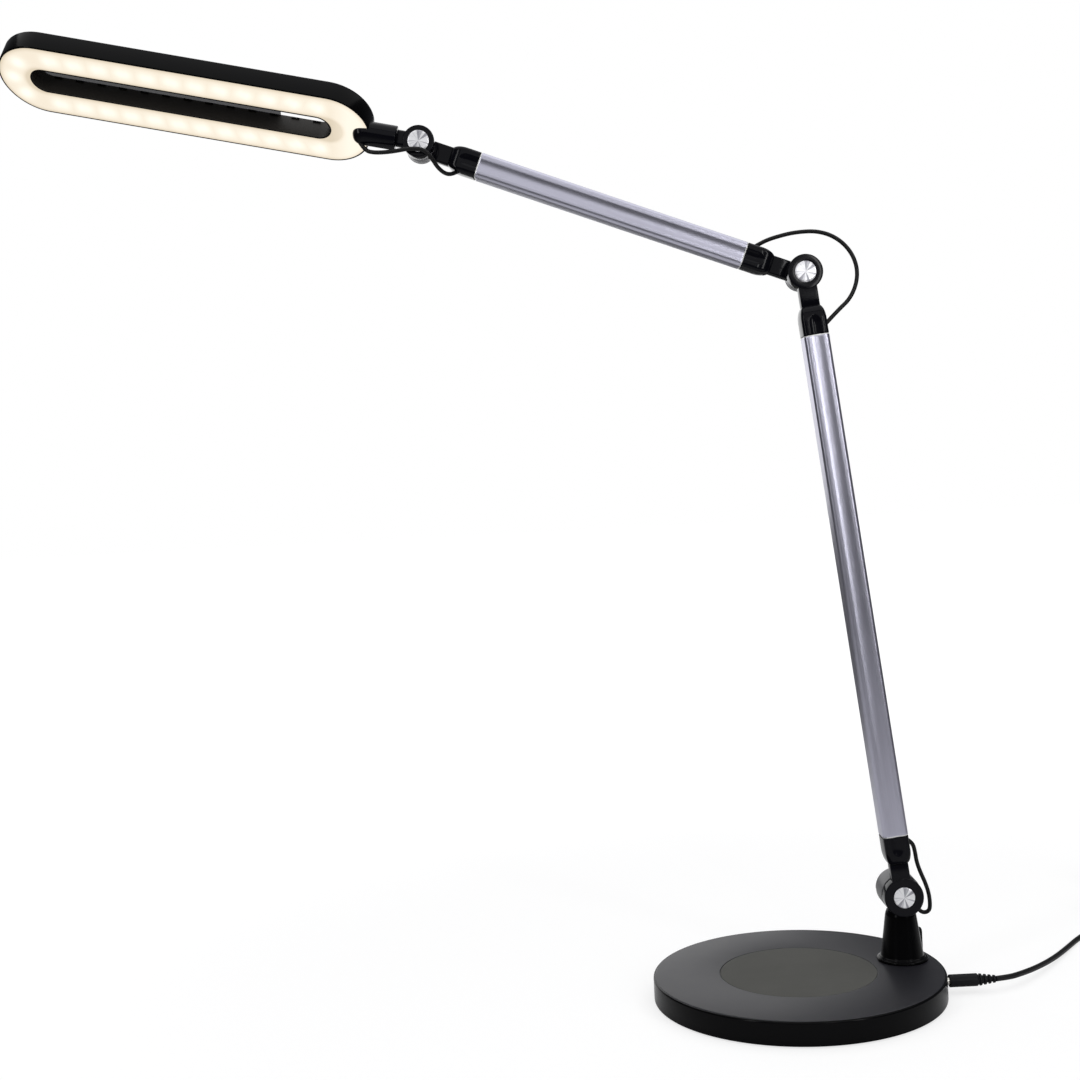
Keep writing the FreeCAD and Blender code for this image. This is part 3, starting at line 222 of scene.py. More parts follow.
BLACK = finish("gloss_black_moulding", (0.0016, 0.0016, 0.0019), 0.16, spread=0.06, grain=350,
               blotches=30, bump=0.05, depth=2e-5, specular=0.07)
SATIN = finish("satin_cover", (0.012, 0.012, 0.0155), 0.4, spread=0.06, grain=1600, bump=0.3,
               depth=4e-5, specular=0.4)
MATT = finish("matt_inlay", (0.085, 0.085, 0.078), 0.85, spread=0.05, grain=2500, bump=0.3,
              depth=4e-5, specular=0.2)
base_radius, cover_top = 112.0, 19.0
shell = skin("base_shell", BLACK, turned([
    (109.5, 1.0, 0), (base_radius, 1.0, 0.9), (base_radius, 18.6, 1.6),
    (110.95, 18.6, 0.25), (110.95, 16.8, 0), (109.5, 16.8, 0)], count=192, ring=True))
cover = skin("base_cover", SATIN, turned([
    (0, 18.1, 0), (60.3, 18.1, 0), (60.3, cover_top, 0.2), (110.6, cover_top, 0.9),
    (110.6, 16.8, 0), (0, 16.8, 0)], count=192))
inlay = skin("base_inlay", MATT, turned([
    (0, 18.98, 0), (59.95, 18.98, 0.3), (59.95, 18.12, 0), (0, 18.12, 0)], count=160))
for piece, node in ((shell, "base_housing"), (cover, "base_top_cover"), (inlay, "inlay_disc")):
    mount(piece, "base", node, node)
PAD = finish("pad_rubber", (0.012, 0.012, 0.012), 0.85, grain=700, bump=0.4, depth=1e-4)
CASTING = finish("raw_casting", (0.16, 0.16, 0.165), 0.65, spread=0.2, grain=500, bump=0.6,
                 depth=3e-4, metallic=0.8)
PAINTED = finish("painted_sheet", (0.02, 0.02, 0.02), 0.5, grain=1200, bump=0.3, depth=5e-5)
BOARD = finish("circuit_board", (0.01, 0.11, 0.04), 0.35, grain=300, blotches=120, tint=0.2)
ZINC = finish("zinc_plate", (0.62, 0.63, 0.64), 0.3, metallic=1.0, grain=900, spread=0.15)
NYLON = finish("natural_nylon", (0.72, 0.71, 0.66), 0.5, grain=800)
dress(PAD, "anti_slip_pad")
dress(CASTING, "ballast_disc")
dress(PAINTED, "base_bottom_plate")
dress(BOARD, "power_board")
dress(ZINC, "base_screws", "base_hinge_bolt", "base_hinge_nut", "arm_hinge_bolts",
      "arm_hinge_nuts", "swivel_nut", "swivel_washer", "roll_clip", "head_screws")
dress(NYLON, "swivel_bushing", "base_hinge_washer", "arm_hinge_washers")
dress(BLACK, "dc_socket")


# ---------------------------------------------------------------- post
# Tapered column on a flange, turning on the base. Its crown carries the hinge barrel, whose
# upper half is a separate dark-grey cover; a small rib cover stands at the back.
def hinge_frame(point):
    """Frame with local Z along world Y, the hinge direction, at a point in millimetres."""
    return np.array(point, float), np.array([(1, 0, 0), (0, 0, -1), (0, 1, 0)], float)


pivots = {j["name"]: np.array(j["pos_m"]) * 1000 for j in frame["joints"]}
post_at = (np.array([85.0, 18.0, 0.0]), np.eye(3))
SMOKED = finish("smoked_cover", (0.10, 0.10, 0.105), 0.38, grain=400, bump=0.05, depth=2e-5,
                specular=0.4)
column = turned([
    (0, 19.35, 0), (19.7, 19.35, 0.2), (19.7, 21.1, 0.7), (17.6, 21.6, 0.4), (17.5, 22.2, 0.4),
    (16.5, 22.6, 0.5), (11.9, 55.4, 1.2), (10.6, 59.0, 1.0), (0, 60.5, 0)], post_at, 96)
barrel_at = hinge_frame((85.0, 11.3, 71.8))
barrel = turned([(0, 0, 0), (15.2, 0, 0.6), (15.2, 23.2, 1.6), (12.5, 24, 0.3), (0, 24, 0)],
                barrel_at, 96)
mount(skin("post_body", BLACK, column), "post", "post_column", "post_column")
mount(skin("post_barrel", SMOKED, barrel), "post", "post_column")
half = np.linspace(math.pi, 2 * math.pi, 49)[:, None]
lid_profile = rounded([(15.22, 0.1, 0), (15.5, 0.1, 0.2), (15.5, 22.9, 1.4), (13.0, 24.1, 0.4),
                       (0.0, 24.2, 0), (0.0, 23.9, 0), (15.0, 23.9, 0)])
lid = np.stack([lid_profile[:, 0] * np.cos(half), lid_profile[:, 0] * np.sin(half),
                lid_profile[:, 1] + 0 * half], -1)
lid[..., 1] -= 0.25
mount(skin("barrel_lid", SMOKED, lid @ barrel_at[1] + barrel_at[0]), "post",
      "post_barrel_cover", "post_barrel_cover")
dress(BLACK, "post_rear_cover")


# ---------------------------------------------------------------- hinge eyes and their caps
# Flat moulded eyes in front of the barrels, each with a spun metal cap pressed into it. The
# eyes' necks run back into the arms' end caps.
def arm_frame(start, end):
    """Frame with local Z from one hinge to the next and local Y along the hinge axis."""
    way = (end - start) * (1, 0, 1)
    way /= np.linalg.norm(way)
    return start, np.array([np.cross((0, 1, 0), way), (0, 1, 0), way])


def outline(half_x, half_y, corner, flute=0.0, ending=0.0, sides=10):
    """Rounded rectangle as a closed row of points, for one or many stations at once: four
    quarter circles of the corner radius joined by straight sides. The sides that face local Y
    are hollowed by a shallow square-law flute, 9 mm wide, that narrows and rises as its ending
    goes from 0 to 1."""
    half_x, half_y, corner, flute, ending = np.broadcast_arrays(
        *[np.atleast_1d(np.asarray(v, float))[:, None]
          for v in (half_x, half_y, corner, flute, ending)])
    turn = np.linspace(0, math.pi / 2, 8)
    rows = []
    for k, (sx, sy) in enumerate(((1, 1), (-1, 1), (-1, -1), (1, -1))):
        angle = turn + k * math.pi / 2
        arc = np.stack([sx * (half_x - corner) + corner * np.cos(angle),
                        sy * (half_y - corner) + corner * np.sin(angle)], -1)
        rows.append(arc)
        if k % 2 == 0:
            share = np.linspace(0, 1, 2 * sides + 1)[1:-1]
            span = (1 - 2 * share) * (half_x - corner)
            hollow = flute * np.clip(1 - (span / 4.5) ** 2 - ending, 0, None)
            rows.append(np.stack([sx * span, sy * (half_y - hollow)], -1))
    rows = np.concatenate(rows, 1)
    return np.concatenate([rows, rows[:, :1]], 1)


def lofted(heights, rows, where):
    """Closed outlines carried along local Z, with a pole at each end."""
    heights = np.asarray(heights, float)
    local = np.concatenate([rows, heights[:, None, None] + 0 * rows[..., :1]], -1)
    ends = local[[0, -1]].mean(1, keepdims=True) + 0 * local[[0, -1]]
    return np.concatenate([ends[:1], local, ends[1:]]) @ where[1] + where[0]


def bar(half_x, half_y, corner, low, high, where, edge=0.4):
    """A rounded-square bar with softened ends."""
    heights = np.array([low, low + edge * 0.3, low + edge, high - edge, high - edge * 0.3, high])
    inset = np.array([edge, edge * 0.3, 0, 0, edge * 0.3, edge])
    return lofted(heights, outline(half_x - inset, half_y - inset, corner), where)


LOWER = arm_frame(pivots["lower_tilt"], pivots["elbow_fold"])
elbow_back = pivots["elbow_fold"] + (0, 17, 0)
UPPER = arm_frame(elbow_back, pivots["head_tilt"])
lower_long = float(np.linalg.norm(pivots["elbow_fold"] - pivots["lower_tilt"]))
upper_long = float(np.linalg.norm(pivots["head_tilt"] - pivots["elbow_fold"]))
CAP_BLACK = finish("cap_black_moulding", (0.0036, 0.0036, 0.0056), 0.11, spread=0.05, grain=350,
                   blotches=30, bump=0.04, depth=2e-5, specular=0.12)


def brushed_lines():
    """Node group: Mask is a noise drawn out into lines, many times finer across the piece than
    along it, from the UV map of lengths."""
    group = bpy.data.node_groups.new("brushed_lines", "ShaderNodeTree")
    for name, value in (("Across", 4000.0), ("Along", 40.0)):
        group.interface.new_socket(name, in_out="INPUT", socket_type="NodeSocketFloat")
        group.interface.items_tree[name].default_value = value
    group.interface.new_socket("Mask", in_out="OUTPUT", socket_type="NodeSocketFloat")
    nodes, links = group.nodes, group.links
    given, made = nodes.new("NodeGroupInput"), nodes.new("NodeGroupOutput")
    lengths = nodes.new("ShaderNodeUVMap")
    lengths.uv_map = "lengths"
    pair, scale = nodes.new("ShaderNodeCombineXYZ"), nodes.new("ShaderNodeVectorMath")
    scale.operation = "MULTIPLY"
    noise = nodes.new("ShaderNodeTexNoise")
    noise.inputs["Scale"].default_value = 1
    noise.inputs["Detail"].default_value = 3
    links.new(given.outputs["Across"], pair.inputs["X"])
    links.new(given.outputs["Along"], pair.inputs["Y"])
    links.new(lengths.outputs["UV"], scale.inputs[0])
    links.new(pair.outputs[0], scale.inputs[1])
    links.new(scale.outputs[0], noise.inputs["Vector"])
    links.new(noise.outputs["Fac"], made.inputs["Mask"])
    return group


LINES = brushed_lines()


def brushed(name, colour, roughness, across=4000.0, along=40.0, tint=0.1, metallic=1.0,
            anisotropy=0.0):
    """Bare metal with drawn or turned lines: they drift its colour and its gloss, and lift a
    fine relief."""
    material = finish(name, colour, roughness, grain=2500, bump=0.15, depth=2e-5,
                      metallic=metallic)
    nodes, links = material.node_tree.nodes, material.node_tree.links
    shader = nodes["Principled BSDF"]
    shader.inputs["Anisotropic"].default_value = anisotropy
    line = nodes.new("ShaderNodeGroup")
    line.node_tree = LINES
    line.inputs["Across"].default_value, line.inputs["Along"].default_value = across, along
    ramp = nodes.new("ShaderNodeValToRGB")
    ramp.color_ramp.elements[0].position, ramp.color_ramp.elements[1].position = 0.25, 0.75
    ramp.color_ramp.elements[0].color = (*[c * (1 - tint) for c in colour], 1)
    ramp.color_ramp.elements[1].color = (*[min(c * (1 + tint), 1) for c in colour], 1)
    links.new(line.outputs["Mask"], ramp.inputs["Fac"])
    links.new(ramp.outputs["Color"], shader.inputs["Base Color"])
    if anisotropy:
        tangent = nodes.new("ShaderNodeTangent")
        tangent.direction_type, tangent.uv_map = "UV_MAP", "lengths"
        links.new(tangent.outputs["Tangent"], shader.inputs["Tangent"])
    return material


def spun_face_painted_sheen():
    """Spun metal with painted highlights: bright and dull sectors fan out from the centre, as
    light catches a turned face. The bearing is the length along the rim over the rim's radius."""
    material = brushed("spun_face_painted_sheen", (0.9, 0.9, 0.92), 0.3, across=9000.0, along=60.0, tint=0.05,
                       metallic=0.5, anisotropy=0.6)
    nodes, links = material.node_tree.nodes, material.node_tree.links
    shader = nodes["Principled BSDF"]
    lengths, parts = nodes.new("ShaderNodeUVMap"), nodes.new("ShaderNodeSeparateXYZ")
    lengths.uv_map = "lengths"
    links.new(lengths.outputs["UV"], parts.inputs[0])
    total, face_rim = None, 0.0082
    for turns, start, weight in ((2, 0.6, 0.3), (7, 2.2, 0.4), (13, 0.3, 0.25)):
        bearing, wave = nodes.new("ShaderNodeMath"), nodes.new("ShaderNodeMath")
        bearing.operation, wave.operation = "MULTIPLY_ADD", "SINE"
        bearing.inputs[1].default_value, bearing.inputs[2].default_value = turns / face_rim, start
        scaled = nodes.new("ShaderNodeMath")
        scaled.operation = "MULTIPLY_ADD"
        scaled.inputs[1].default_value = weight
        scaled.inputs[2].default_value = 0.5
        links.new(parts.outputs["Y"], bearing.inputs[0])
        links.new(bearing.outputs[0], wave.inputs[0])
        links.new(wave.outputs[0], scaled.inputs[0])
        if total:
            links.new(total.outputs[0], scaled.inputs[2])
        total = scaled
    # Painted highlight: the fan brightens and dulls the colour in sectors where light would catch
    # the turned lines.
    fan = nodes.new("ShaderNodeValToRGB")
    fan.color_ramp.elements[0].position, fan.color_ramp.elements[1].position = 0.05, 0.5
    fan.color_ramp.elements[0].color = (0.4, 0.4, 0.43, 1)
    fan.color_ramp.elements[1].color = (1, 1, 1, 1)
    blend = nodes.new("ShaderNodeMix")
    blend.data_type, blend.blend_type = "RGBA", "MULTIPLY"
    blend.inputs["Factor"].default_value = 1.0
    base = shader.inputs["Base Color"].links[0].from_socket
    links.new(total.outputs[0], fan.inputs["Fac"])
    links.new(base, blend.inputs["A"])
    links.new(fan.outputs["Color"], blend.inputs["B"])
    links.new(blend.outputs["Result"], shader.inputs["Base Color"])
    return material


SPUN_PAINTED_SHEEN = spun_face_painted_sheen()


def eye_disc(dia, point):
    """Disc about the hinge axis with rounded rims and a shallow recess for the metal cap."""
    return turned([(0, 1.0, 0), (8.3, 1.0, 0), (8.3, 0, 0.25), (dia / 2, 0, 0.9),
                   (dia / 2, 10, 0.7), (0, 10, 0)], hinge_frame(point - (0, 5, 0)), 96)


def metal_cap(name, point, body, node):
    """Spun cap: a flat face with a softened rim, and a shallow dish at its centre."""
    # The face's finish carries painted highlight sectors.
    cap = skin(name, SPUN_PAINTED_SHEEN, turned([(0, -0.45, 0), (7.4, -0.6, 0.6), (8.2, -0.25, 0.3),
                                   (8.2, 0.9, 0), (0, 0.9, 0)],
                                  hinge_frame(point - (0, 5, 0)), 96))
    mount(cap, body, "spun", node)


mount(skin("base_eye_ring", CAP_BLACK, eye_disc(30.4, pivots["lower_tilt"]),
           bar(7.15, 4.6, 1.0, 8, 29, LOWER)), "lower_arm", "black", "base_eye")
mount(skin("elbow_eye_ring", CAP_BLACK, eye_disc(27, pivots["elbow_fold"]),
           bar(7.15, 4.6, 1.0, lower_long - 29, lower_long - 8, LOWER)),
      "lower_arm", "black", "elbow_eye")
metal_cap("base_cap_face", pivots["lower_tilt"], "lower_arm", "base_hinge_cap")
metal_cap("elbow_cap_face", pivots["elbow_fold"], "lower_arm", "elbow_hinge_cap")
metal_cap("head_cap_face", pivots["head_tilt"], "head_neck", "head_hinge_cap")


# ---------------------------------------------------------------- arms
# Rounded-square aluminium extrusions, fluted front and back, satin anodised, with moulded
# caps that carry the same flute and close in to the necks in a round shoulder.
TUBE = brushed("anodised_tube", (0.52, 0.515, 0.61), 0.33, across=1500.0, along=12.0, tint=0.05)
CUT_EDGE = finish("bright_cut_edge", (0.9, 0.9, 0.88), 0.3, metallic=0.3)
half_width, half_depth, tube_corner = 9.8, 10.5, 3.2


def local_points(items, key, where):
    """Vertices or face centres of a mesh in a local frame, in millimetres."""
    spots = np.zeros(len(items) * 3)
    items.foreach_get(key, spots)
    return (spots.reshape(-1, 3) * 1000 - where[0]) @ where[1].T


def two_finishes(piece, other, chosen):
    """The chosen faces of a piece take a second finish."""
    piece.data.materials.append(other)
    piece.data.polygons.foreach_set("material_index", chosen.astype(np.int32))


def arm_tube(name, low, high, where):
    """The outline drawn straight from cut to cut, with a bright broken edge at each end."""
    heights = np.concatenate([[low, low + 0.9], np.linspace(low + 2, high - 2, 24),
                              [high - 0.9, high]])
    inset = np.zeros(len(heights))
    inset[[0, -1]] = 0.55
    rows = outline(half_width - inset, half_depth - inset, tube_corner, 0.7)
    tube = skin(name, TUBE, lofted(heights, rows, where))
    along = local_points(tube.data.polygons, "center", where)[:, 2]
    two_finishes(tube, CUT_EDGE, (along < low + 0.9) | (along > high - 0.9))
    return tube


def end_cap(name, cut, tip, where):
    """Sleeve from the tube's cut to its tip. Over its shoulder it closes in to the neck as a
    quarter ellipse, and the flute ends in a round arch where that begins."""
    shoulder, tip_width, tip_depth = 12, 5.6, 4.0
    t = np.linspace(0, 1, 25)
    way = 1 if tip > cut else -1
    closing = np.sqrt(np.clip(1 - t ** 2, 0, 1))
    run = np.linspace(0.3, 10, 14)
    heights = np.concatenate([[cut], cut + way * run, tip - way * shoulder * (1 - t)])
    half_x = np.concatenate([[half_width - 0.2], half_width + 0 * run,
                             tip_width + (half_width - tip_width) * closing])
    half_y = np.concatenate([[half_depth - 0.2], half_depth + 0 * run,
                             tip_depth + (half_depth - tip_depth) * closing])
    corner = np.concatenate([[tube_corner], tube_corner + 0 * run, tube_corner - 0.6 * t])
    ending = np.clip((np.abs(heights - cut) - 9) / 6.5, 0, None) ** 2
    rows = outline(half_x, half_y, corner, 1.3, ending)
    return skin(name, CAP_BLACK, lofted(heights, rows, where))


cap_long = 23
for arm, where, long, cut, nodes in (
        ("lower", LOWER, lower_long, 49.0, ("lower_tube", "lower_cap_bottom", "lower_cap_top")),
        ("upper", UPPER, upper_long, 47.3, ("upper_tube", "upper_cap_elbow", "upper_cap_head"))):
    body, far_cut = arm + "_arm", long - cut
    mount(arm_tube(arm + "_extrusion", cut, far_cut, where), body, "tube", nodes[0])
    mount(end_cap(arm + "_foot_cap", cut, cut - cap_long, where), body, "black", nodes[1])
    mount(end_cap(arm + "_head_cap", far_cut, far_cut + cap_long, where), body, "black", nodes[2])
for name, low, node in (("upper_foot_neck", 6, "upper_neck_elbow"),
                        ("upper_head_neck", upper_long - 30, "upper_neck_head")):
    mount(skin(name, CAP_BLACK, bar(7.15, 5, 1.0, low, low + 24, UPPER)),
          "upper_arm", "black", node)
# The wires inside the tubes have the same jacket as the leads outside.
JACKET = finish("satin_black_jacket", (0.008, 0.008, 0.0085), 0.42, spread=0.08, grain=500,
                blotches=60, bump=0.05, depth=2e-5, specular=0.2)
dress(JACKET, "lower_wire", "upper_wire")


# ---------------------------------------------------------------- barrels of the upper arm
# Turned aluminium barrels behind the eyes, with a lip, two shallow grooves and a dished
# rear cap.
SILVER = brushed("silver_barrel", (0.4, 0.4, 0.41), 0.4, across=5000.0, along=30.0, tint=0.15)


def rear_barrel(name, point, long, node):
    """A grooved barrel; gives back the profile of its dished rear cap, turned in place."""
    at = hinge_frame(point + (0, 5.3, 0))
    body = [(0, 0, 0), (11.5, 0, 0.5), (11.5, 2.6, 0.2), (11.2, 2.8, 0.1), (11.2, 3.4, 0.1),
            (11.5, 3.6, 0.2), (11.5, long - 3.6, 0.2), (11.2, long - 3.4, 0.1),
            (11.2, long - 2.8, 0.1), (11.5, long - 2.6, 0.2), (11.5, long, 0.5), (0, long, 0)]
    cap = [(0, long + 0.02, 0), (11, long + 0.02, 0.2), (11, long + 3, 0.9), (9.5, long + 3, 0.3),
           (9.2, long + 2.5, 0.3), (0, long + 2.2, 0)]
    mount(skin(name + "_turned", SILVER, turned(body, at, 96)), "upper_arm", "barrel", node)
    return turned(cap, at, 96)


rear_lids = skin("rear_lids", SILVER,
                 rear_barrel("elbow_barrel", pivots["elbow_fold"], 21.5, "elbow_barrel"),
                 rear_barrel("head_barrel", pivots["head_tilt"], 19, "head_hinge_barrel"))
mount(rear_lids, "upper_arm", "barrel", "barrel_rear_caps")


# ---------------------------------------------------------------- head knuckle and sleeve
# The knuckle's eye tilts in front of the barrel, and its pin turns in the head's sleeve,
# which laps over the light's face with a rounded nose.
roll = next(j for j in frame["joints"] if j["name"] == "head_roll")
axis = np.array(roll["axis"])
KNUCKLE = arm_frame(pivots["head_tilt"], pivots["head_tilt"] + axis)
turn = math.radians(30)
HEAD = (KNUCKLE[0], np.array([
    math.cos(turn) * KNUCKLE[1][0] + math.sin(turn) * KNUCKLE[1][1],
    -math.sin(turn) * KNUCKLE[1][0] + math.cos(turn) * KNUCKLE[1][1], KNUCKLE[1][2]]))
knuckle = skin("knuckle_eye", CAP_BLACK, eye_disc(24.4, pivots["head_tilt"]),
               bar(6.3, 4.6, 2.4, 4, 17, KNUCKLE),
               turned([(0, 12, 0), (4, 12, 0), (4, 37, 0.4), (0, 37, 0)], KNUCKLE, 40))
mount(knuckle, "head_neck", "black", "head_knuckle")
sleeve = skin("head_sleeve", CAP_BLACK, turned([
    (0, 17.3, 0), (9.3, 17.3, 1.1), (9.3, 44, 3.0), (7.6, 49.2, 3.0), (3.2, 51.0, 1.6),
    (0, 51.0, 0)], HEAD, 72))
mount(sleeve, "head", "black", "head_bracket")


# ---------------------------------------------------------------- head housing
# A long moulded ring in gloss black: an open channel with soft edges round a through slot,
# whose wall is left matt and painted lighter and warmer than the ring, as painted light that
# reaches into the slot. The small teeth along the slot's back are moulded with it.
rim_radius, rim_ends = 34, (71, 292)
slot_radius, slot_ends = 10.45, (79.15, 289.65)


def race(radius, near, far, grow=0.0, arc=40, straight=36):
    """Closed race-track line in the head's plane (width, length): two half circles about the
    points near and far, joined by straight sides; grow moves it outwards."""
    turn = np.linspace(0, math.pi, arc)
    run = np.linspace(0, 1, straight)[1:-1]
    out = radius + grow
    end = np.stack([out * np.cos(turn), far + out * np.sin(turn)], -1)
    back = np.stack([-out + 0 * run, far + (near - far) * run], -1)
    start = np.stack([-out * np.cos(turn), near - out * np.sin(turn)], -1)
    ahead = np.stack([out + 0 * run, near + (far - near) * run], -1)
    line = np.concatenate([end, back, start, ahead])
    return np.concatenate([line, line[:1]])


def outer_line(grow=0.0):
    """The head's outer rim."""
    return race(rim_radius, *rim_ends, grow)


def slot_line(grow=0.0):
    """The rim of the through slot."""
    return race(slot_radius, *slot_ends, grow)


def ring_of(section):
    """Section points (which line, distance into the ring, thickness) carried round the head."""
    rows = []
    for line, inset, thick in section:
        flat = outer_line(-inset) if line == "outer" else slot_line(inset)
        rows.append(np.column_stack([np.full(len(flat), thick), flat]))
    rows.append(rows[0])
    return np.stack(rows) @ HEAD[1] + HEAD[0]


def bent_edge(line, face, back, radius):
    """Thicknesses and insets of a wall whose two edges are rounded."""
    t = np.linspace(0, math.pi / 2, 5)
    low = [(line, radius * (1 - math.sin(a)), face + radius * (1 - math.cos(a))) for a in t]
    high = [(line, radius * (1 - math.cos(a)), back - radius * (1 - math.sin(a))) for a in t]
    return low + high


face, back, wall = -3.1, 13.7, 1.3
channel = (bent_edge("outer", face, back, 0.9) + bent_edge("slot", face, back, 0.6)[::-1]
           + [("slot", wall, face + 0.1), ("slot", wall, back - 2), ("outer", wall, back - 2),
              ("outer", wall, face + 0.1)])
housing = skin("head_ring", BLACK, ring_of(channel))
# Painted light: the slot wall is a lighter, warmer copy of the black moulding, standing in for
# the light that reaches into the slot.
SLOT_WALL_PAINTED_LIGHT = finish("slot_wall_painted_light", (0.022, 0.019, 0.016), 0.5, grain=400, bump=0.05,
                   depth=2e-5, specular=0.3)
local = local_points(housing.data.polygons, "center", HEAD)
beyond = np.maximum(slot_ends[0] - local[:, 2], local[:, 2] - slot_ends[1]).clip(0)
two_finishes(housing, SLOT_WALL_PAINTED_LIGHT,
             (np.hypot(local[:, 1], beyond) < slot_radius + 0.15) & (local[:, 0] < back - 0.3))
mount(housing, "head", "head_housing", "head_housing")
dress(BLACK, "slot_teeth")


# ---------------------------------------------------------------- diffuser and light sources
# A thin opal cover pressed into the channel, a little crowned, over two lanes of light
# sources on one board. The metal sheet behind the board sheds the heat.
def lit_opal():
    """Milky plastic lit from behind: tan where the light is weak, warm white over a source."""
    material = bpy.data.materials.new("lit_opal")
    material.use_nodes = True
    nodes, links = material.node_tree.nodes, material.node_tree.links
    shader = nodes["Principled BSDF"]
    shader.inputs["Base Color"].default_value = (0.12, 0.115, 0.105, 1)
    shader.inputs["Roughness"].default_value = 0.5
    shader.inputs["Specular IOR Level"].default_value = 0.2
    shader.inputs["Emission Strength"].default_value = 1.0
    shine, warm = nodes.new("ShaderNodeAttribute"), nodes.new("ShaderNodeValToRGB")
    shine.attribute_name = "glow"
    warm.color_ramp.elements[0].color = (0.68, 0.58, 0.43, 1)
    warm.color_ramp.elements[1].color = (1.05, 1.02, 0.90, 1)
    warm.color_ramp.elements.new(0.45).color = (0.90, 0.80, 0.65, 1)
    links.new(shine.outputs["Fac"], warm.inputs["Fac"])
    links.new(warm.outputs["Color"], shader.inputs["Emission Color"])
    return material


# Two straight lanes of twelve sources and three more round the far end.
lane, first_source, pitch = 22.22, 77.4, 18.6
along = first_source + pitch * np.arange(12)
fan = np.radians((45, 90, 135))
sources = np.concatenate([
    np.column_stack([np.full(12, lane), along]), np.column_stack([np.full(12, -lane), along]),
    np.column_stack([lane * np.cos(fan), rim_ends[1] + lane * np.sin(fan)])])
share = np.linspace(0, 1, 26)
outer, inner = outer_line(-wall - 0.15), slot_line(wall + 0.15)
flat = outer[None] * (1 - share[:, None, None]) + inner[None] * share[:, None, None]
crown = face - 0.25 + 0.45 * np.abs(2 * share - 1) ** 6
sheet = np.concatenate([crown[:, None, None] + 0 * flat[..., :1], flat], -1)
opal = np.concatenate([sheet, sheet[::-1] + (2, 0, 0), sheet[:1]])
diffuser = skin("opal_cover", lit_opal(), opal @ HEAD[1] + HEAD[0])
local = local_points(diffuser.data.vertices, "co", HEAD)
gap = np.linalg.norm(local[:, None, 1:] - sources[None], axis=2)
bright = np.clip(1.15 * np.exp(-(gap / 5.8) ** 2).sum(1), 0, 1)
# The near end, past the last sources, glows evenly. The rims of the opal dim to a tan line.
bright = np.maximum(bright, 0.55 * np.clip((68 - local[:, 2]) / 14, 0, 1))
beyond = np.maximum(rim_ends[0] - local[:, 2], local[:, 2] - rim_ends[1]).clip(0)
offset = np.abs(np.hypot(local[:, 1], beyond) - lane) / 10.5
rim = np.clip((offset - 0.55) / 0.4, 0, 1)
value = 0.45 - 0.4 * rim ** 2 + 0.55 * bright
diffuser.data.attributes.new("glow", "FLOAT", "POINT").data.foreach_set(
    "value", value.astype(np.float32))
mount(diffuser, "head", "diffuser", "diffuser")
WHITE_BOARD = finish("white_board", (0.8, 0.8, 0.78), 0.4, grain=400)
CHIP = finish("phosphor_chip", (0.85, 0.75, 0.2), 0.4)
SHEET = finish("heat_sheet", (0.6, 0.6, 0.6), 0.35, metallic=1.0)
dress(WHITE_BOARD, "led_board")
dress(CHIP, "led_chips")
dress(SHEET, "heat_plate")


# ---------------------------------------------------------------- slot screen
# A strip of smoked clear sheet closes the back of the slot from the far end, and stops short
# of the sleeve. It lets a little of the light behind it through.
SCREEN = finish("smoked_screen", (0.03, 0.029, 0.045), 0.3, grain=500, specular=0.3)
SCREEN.node_tree.nodes["Principled BSDF"].inputs["Alpha"].default_value = 0.72
tail, half_screen, screen_start = np.linspace(0, math.pi, 40), slot_radius - 0.02, 111.1
far_end = np.stack([half_screen * np.cos(tail), slot_ends[1] + half_screen * np.sin(tail)], -1)
near_corners = [(-half_screen, screen_start), (half_screen, screen_start)]
screen_line = np.concatenate([far_end, near_corners, far_end[:1]])[None]
centre = np.array([0, 200.0])
size = np.array([0, 1, 1, 0])[:, None, None]
level = np.array([12.75, 12.75, 13.55, 13.55])[:, None, None]
screen_rows = np.concatenate([level + 0 * screen_line[..., :1],
                              centre + size * (screen_line - centre)], -1)
mount(skin("slot_screen_sheet", SCREEN, screen_rows @ HEAD[1] + HEAD[0]),
      "head", "slot_screen", "slot_screen")


# ---------------------------------------------------------------- leads across the hinges
# Four short loops of 3.2 mm lead carry the supply past the hinges. Each end sits in a blind
# hole. Each loop is made once, in place; the two bodies listed for it are not used.
def spline_line(name, points, radius, material):
    """A smooth cord: a second-degree NURBS spline on its control points, with a round bevel."""
    curve = bpy.data.curves.new(name, "CURVE")
    curve.dimensions = "3D"
    spline = curve.splines.new("NURBS")
    spline.points.add(len(points) - 1)
    spline.points.foreach_set("co", np.column_stack([points, np.ones(len(points))]).ravel())
    spline.order_u = 3
    spline.use_endpoint_u = True
    spline.resolution_u = 8
    curve.bevel_depth = radius
    curve.bevel_resolution = 6
    curve.use_fill_caps = True
    line = bpy.data.objects.new(name, curve)
    bpy.context.scene.collection.objects.link(line)
    curve.materials.append(material)
    return line


def spline_points(name, control):
    """The points of the smooth spline on these control points, as the curve gives them."""
    guide = spline_line(name, np.array(control) / 1000, 0.0, JACKET)
    guide.data.use_fill_caps = False
    line = bpy.data.meshes.new_from_object(guide)
    points = np.zeros(len(line.vertices) * 3)
    line.vertices.foreach_get("co", points)
    bpy.data.objects.remove(guide)
    return points.reshape(-1, 3) * 1000


def tube_along(points, radius, sides=20):
    """Circles of one radius square to the line: centre plus cosine of one side vector plus sine
    of the other, with a pole at each end."""
    way = np.gradient(points, axis=0)
    way /= np.linalg.norm(way, axis=1)[:, None]
    side = np.cross(way, (0, 1, 0))
    side /= np.linalg.norm(side, axis=1)[:, None]
    other = np.cross(way, side)
    angle = np.linspace(0, 2 * math.pi, sides + 1)
    ring = (side[:, None] * np.cos(angle)[:, None] + other[:, None] * np.sin(angle)[:, None])
    rings = points[:, None] + ring * radius
    poles = np.repeat(points[[0, -1], None], sides + 1, axis=1)
    return np.concatenate([poles[:1], rings, poles[1:]])


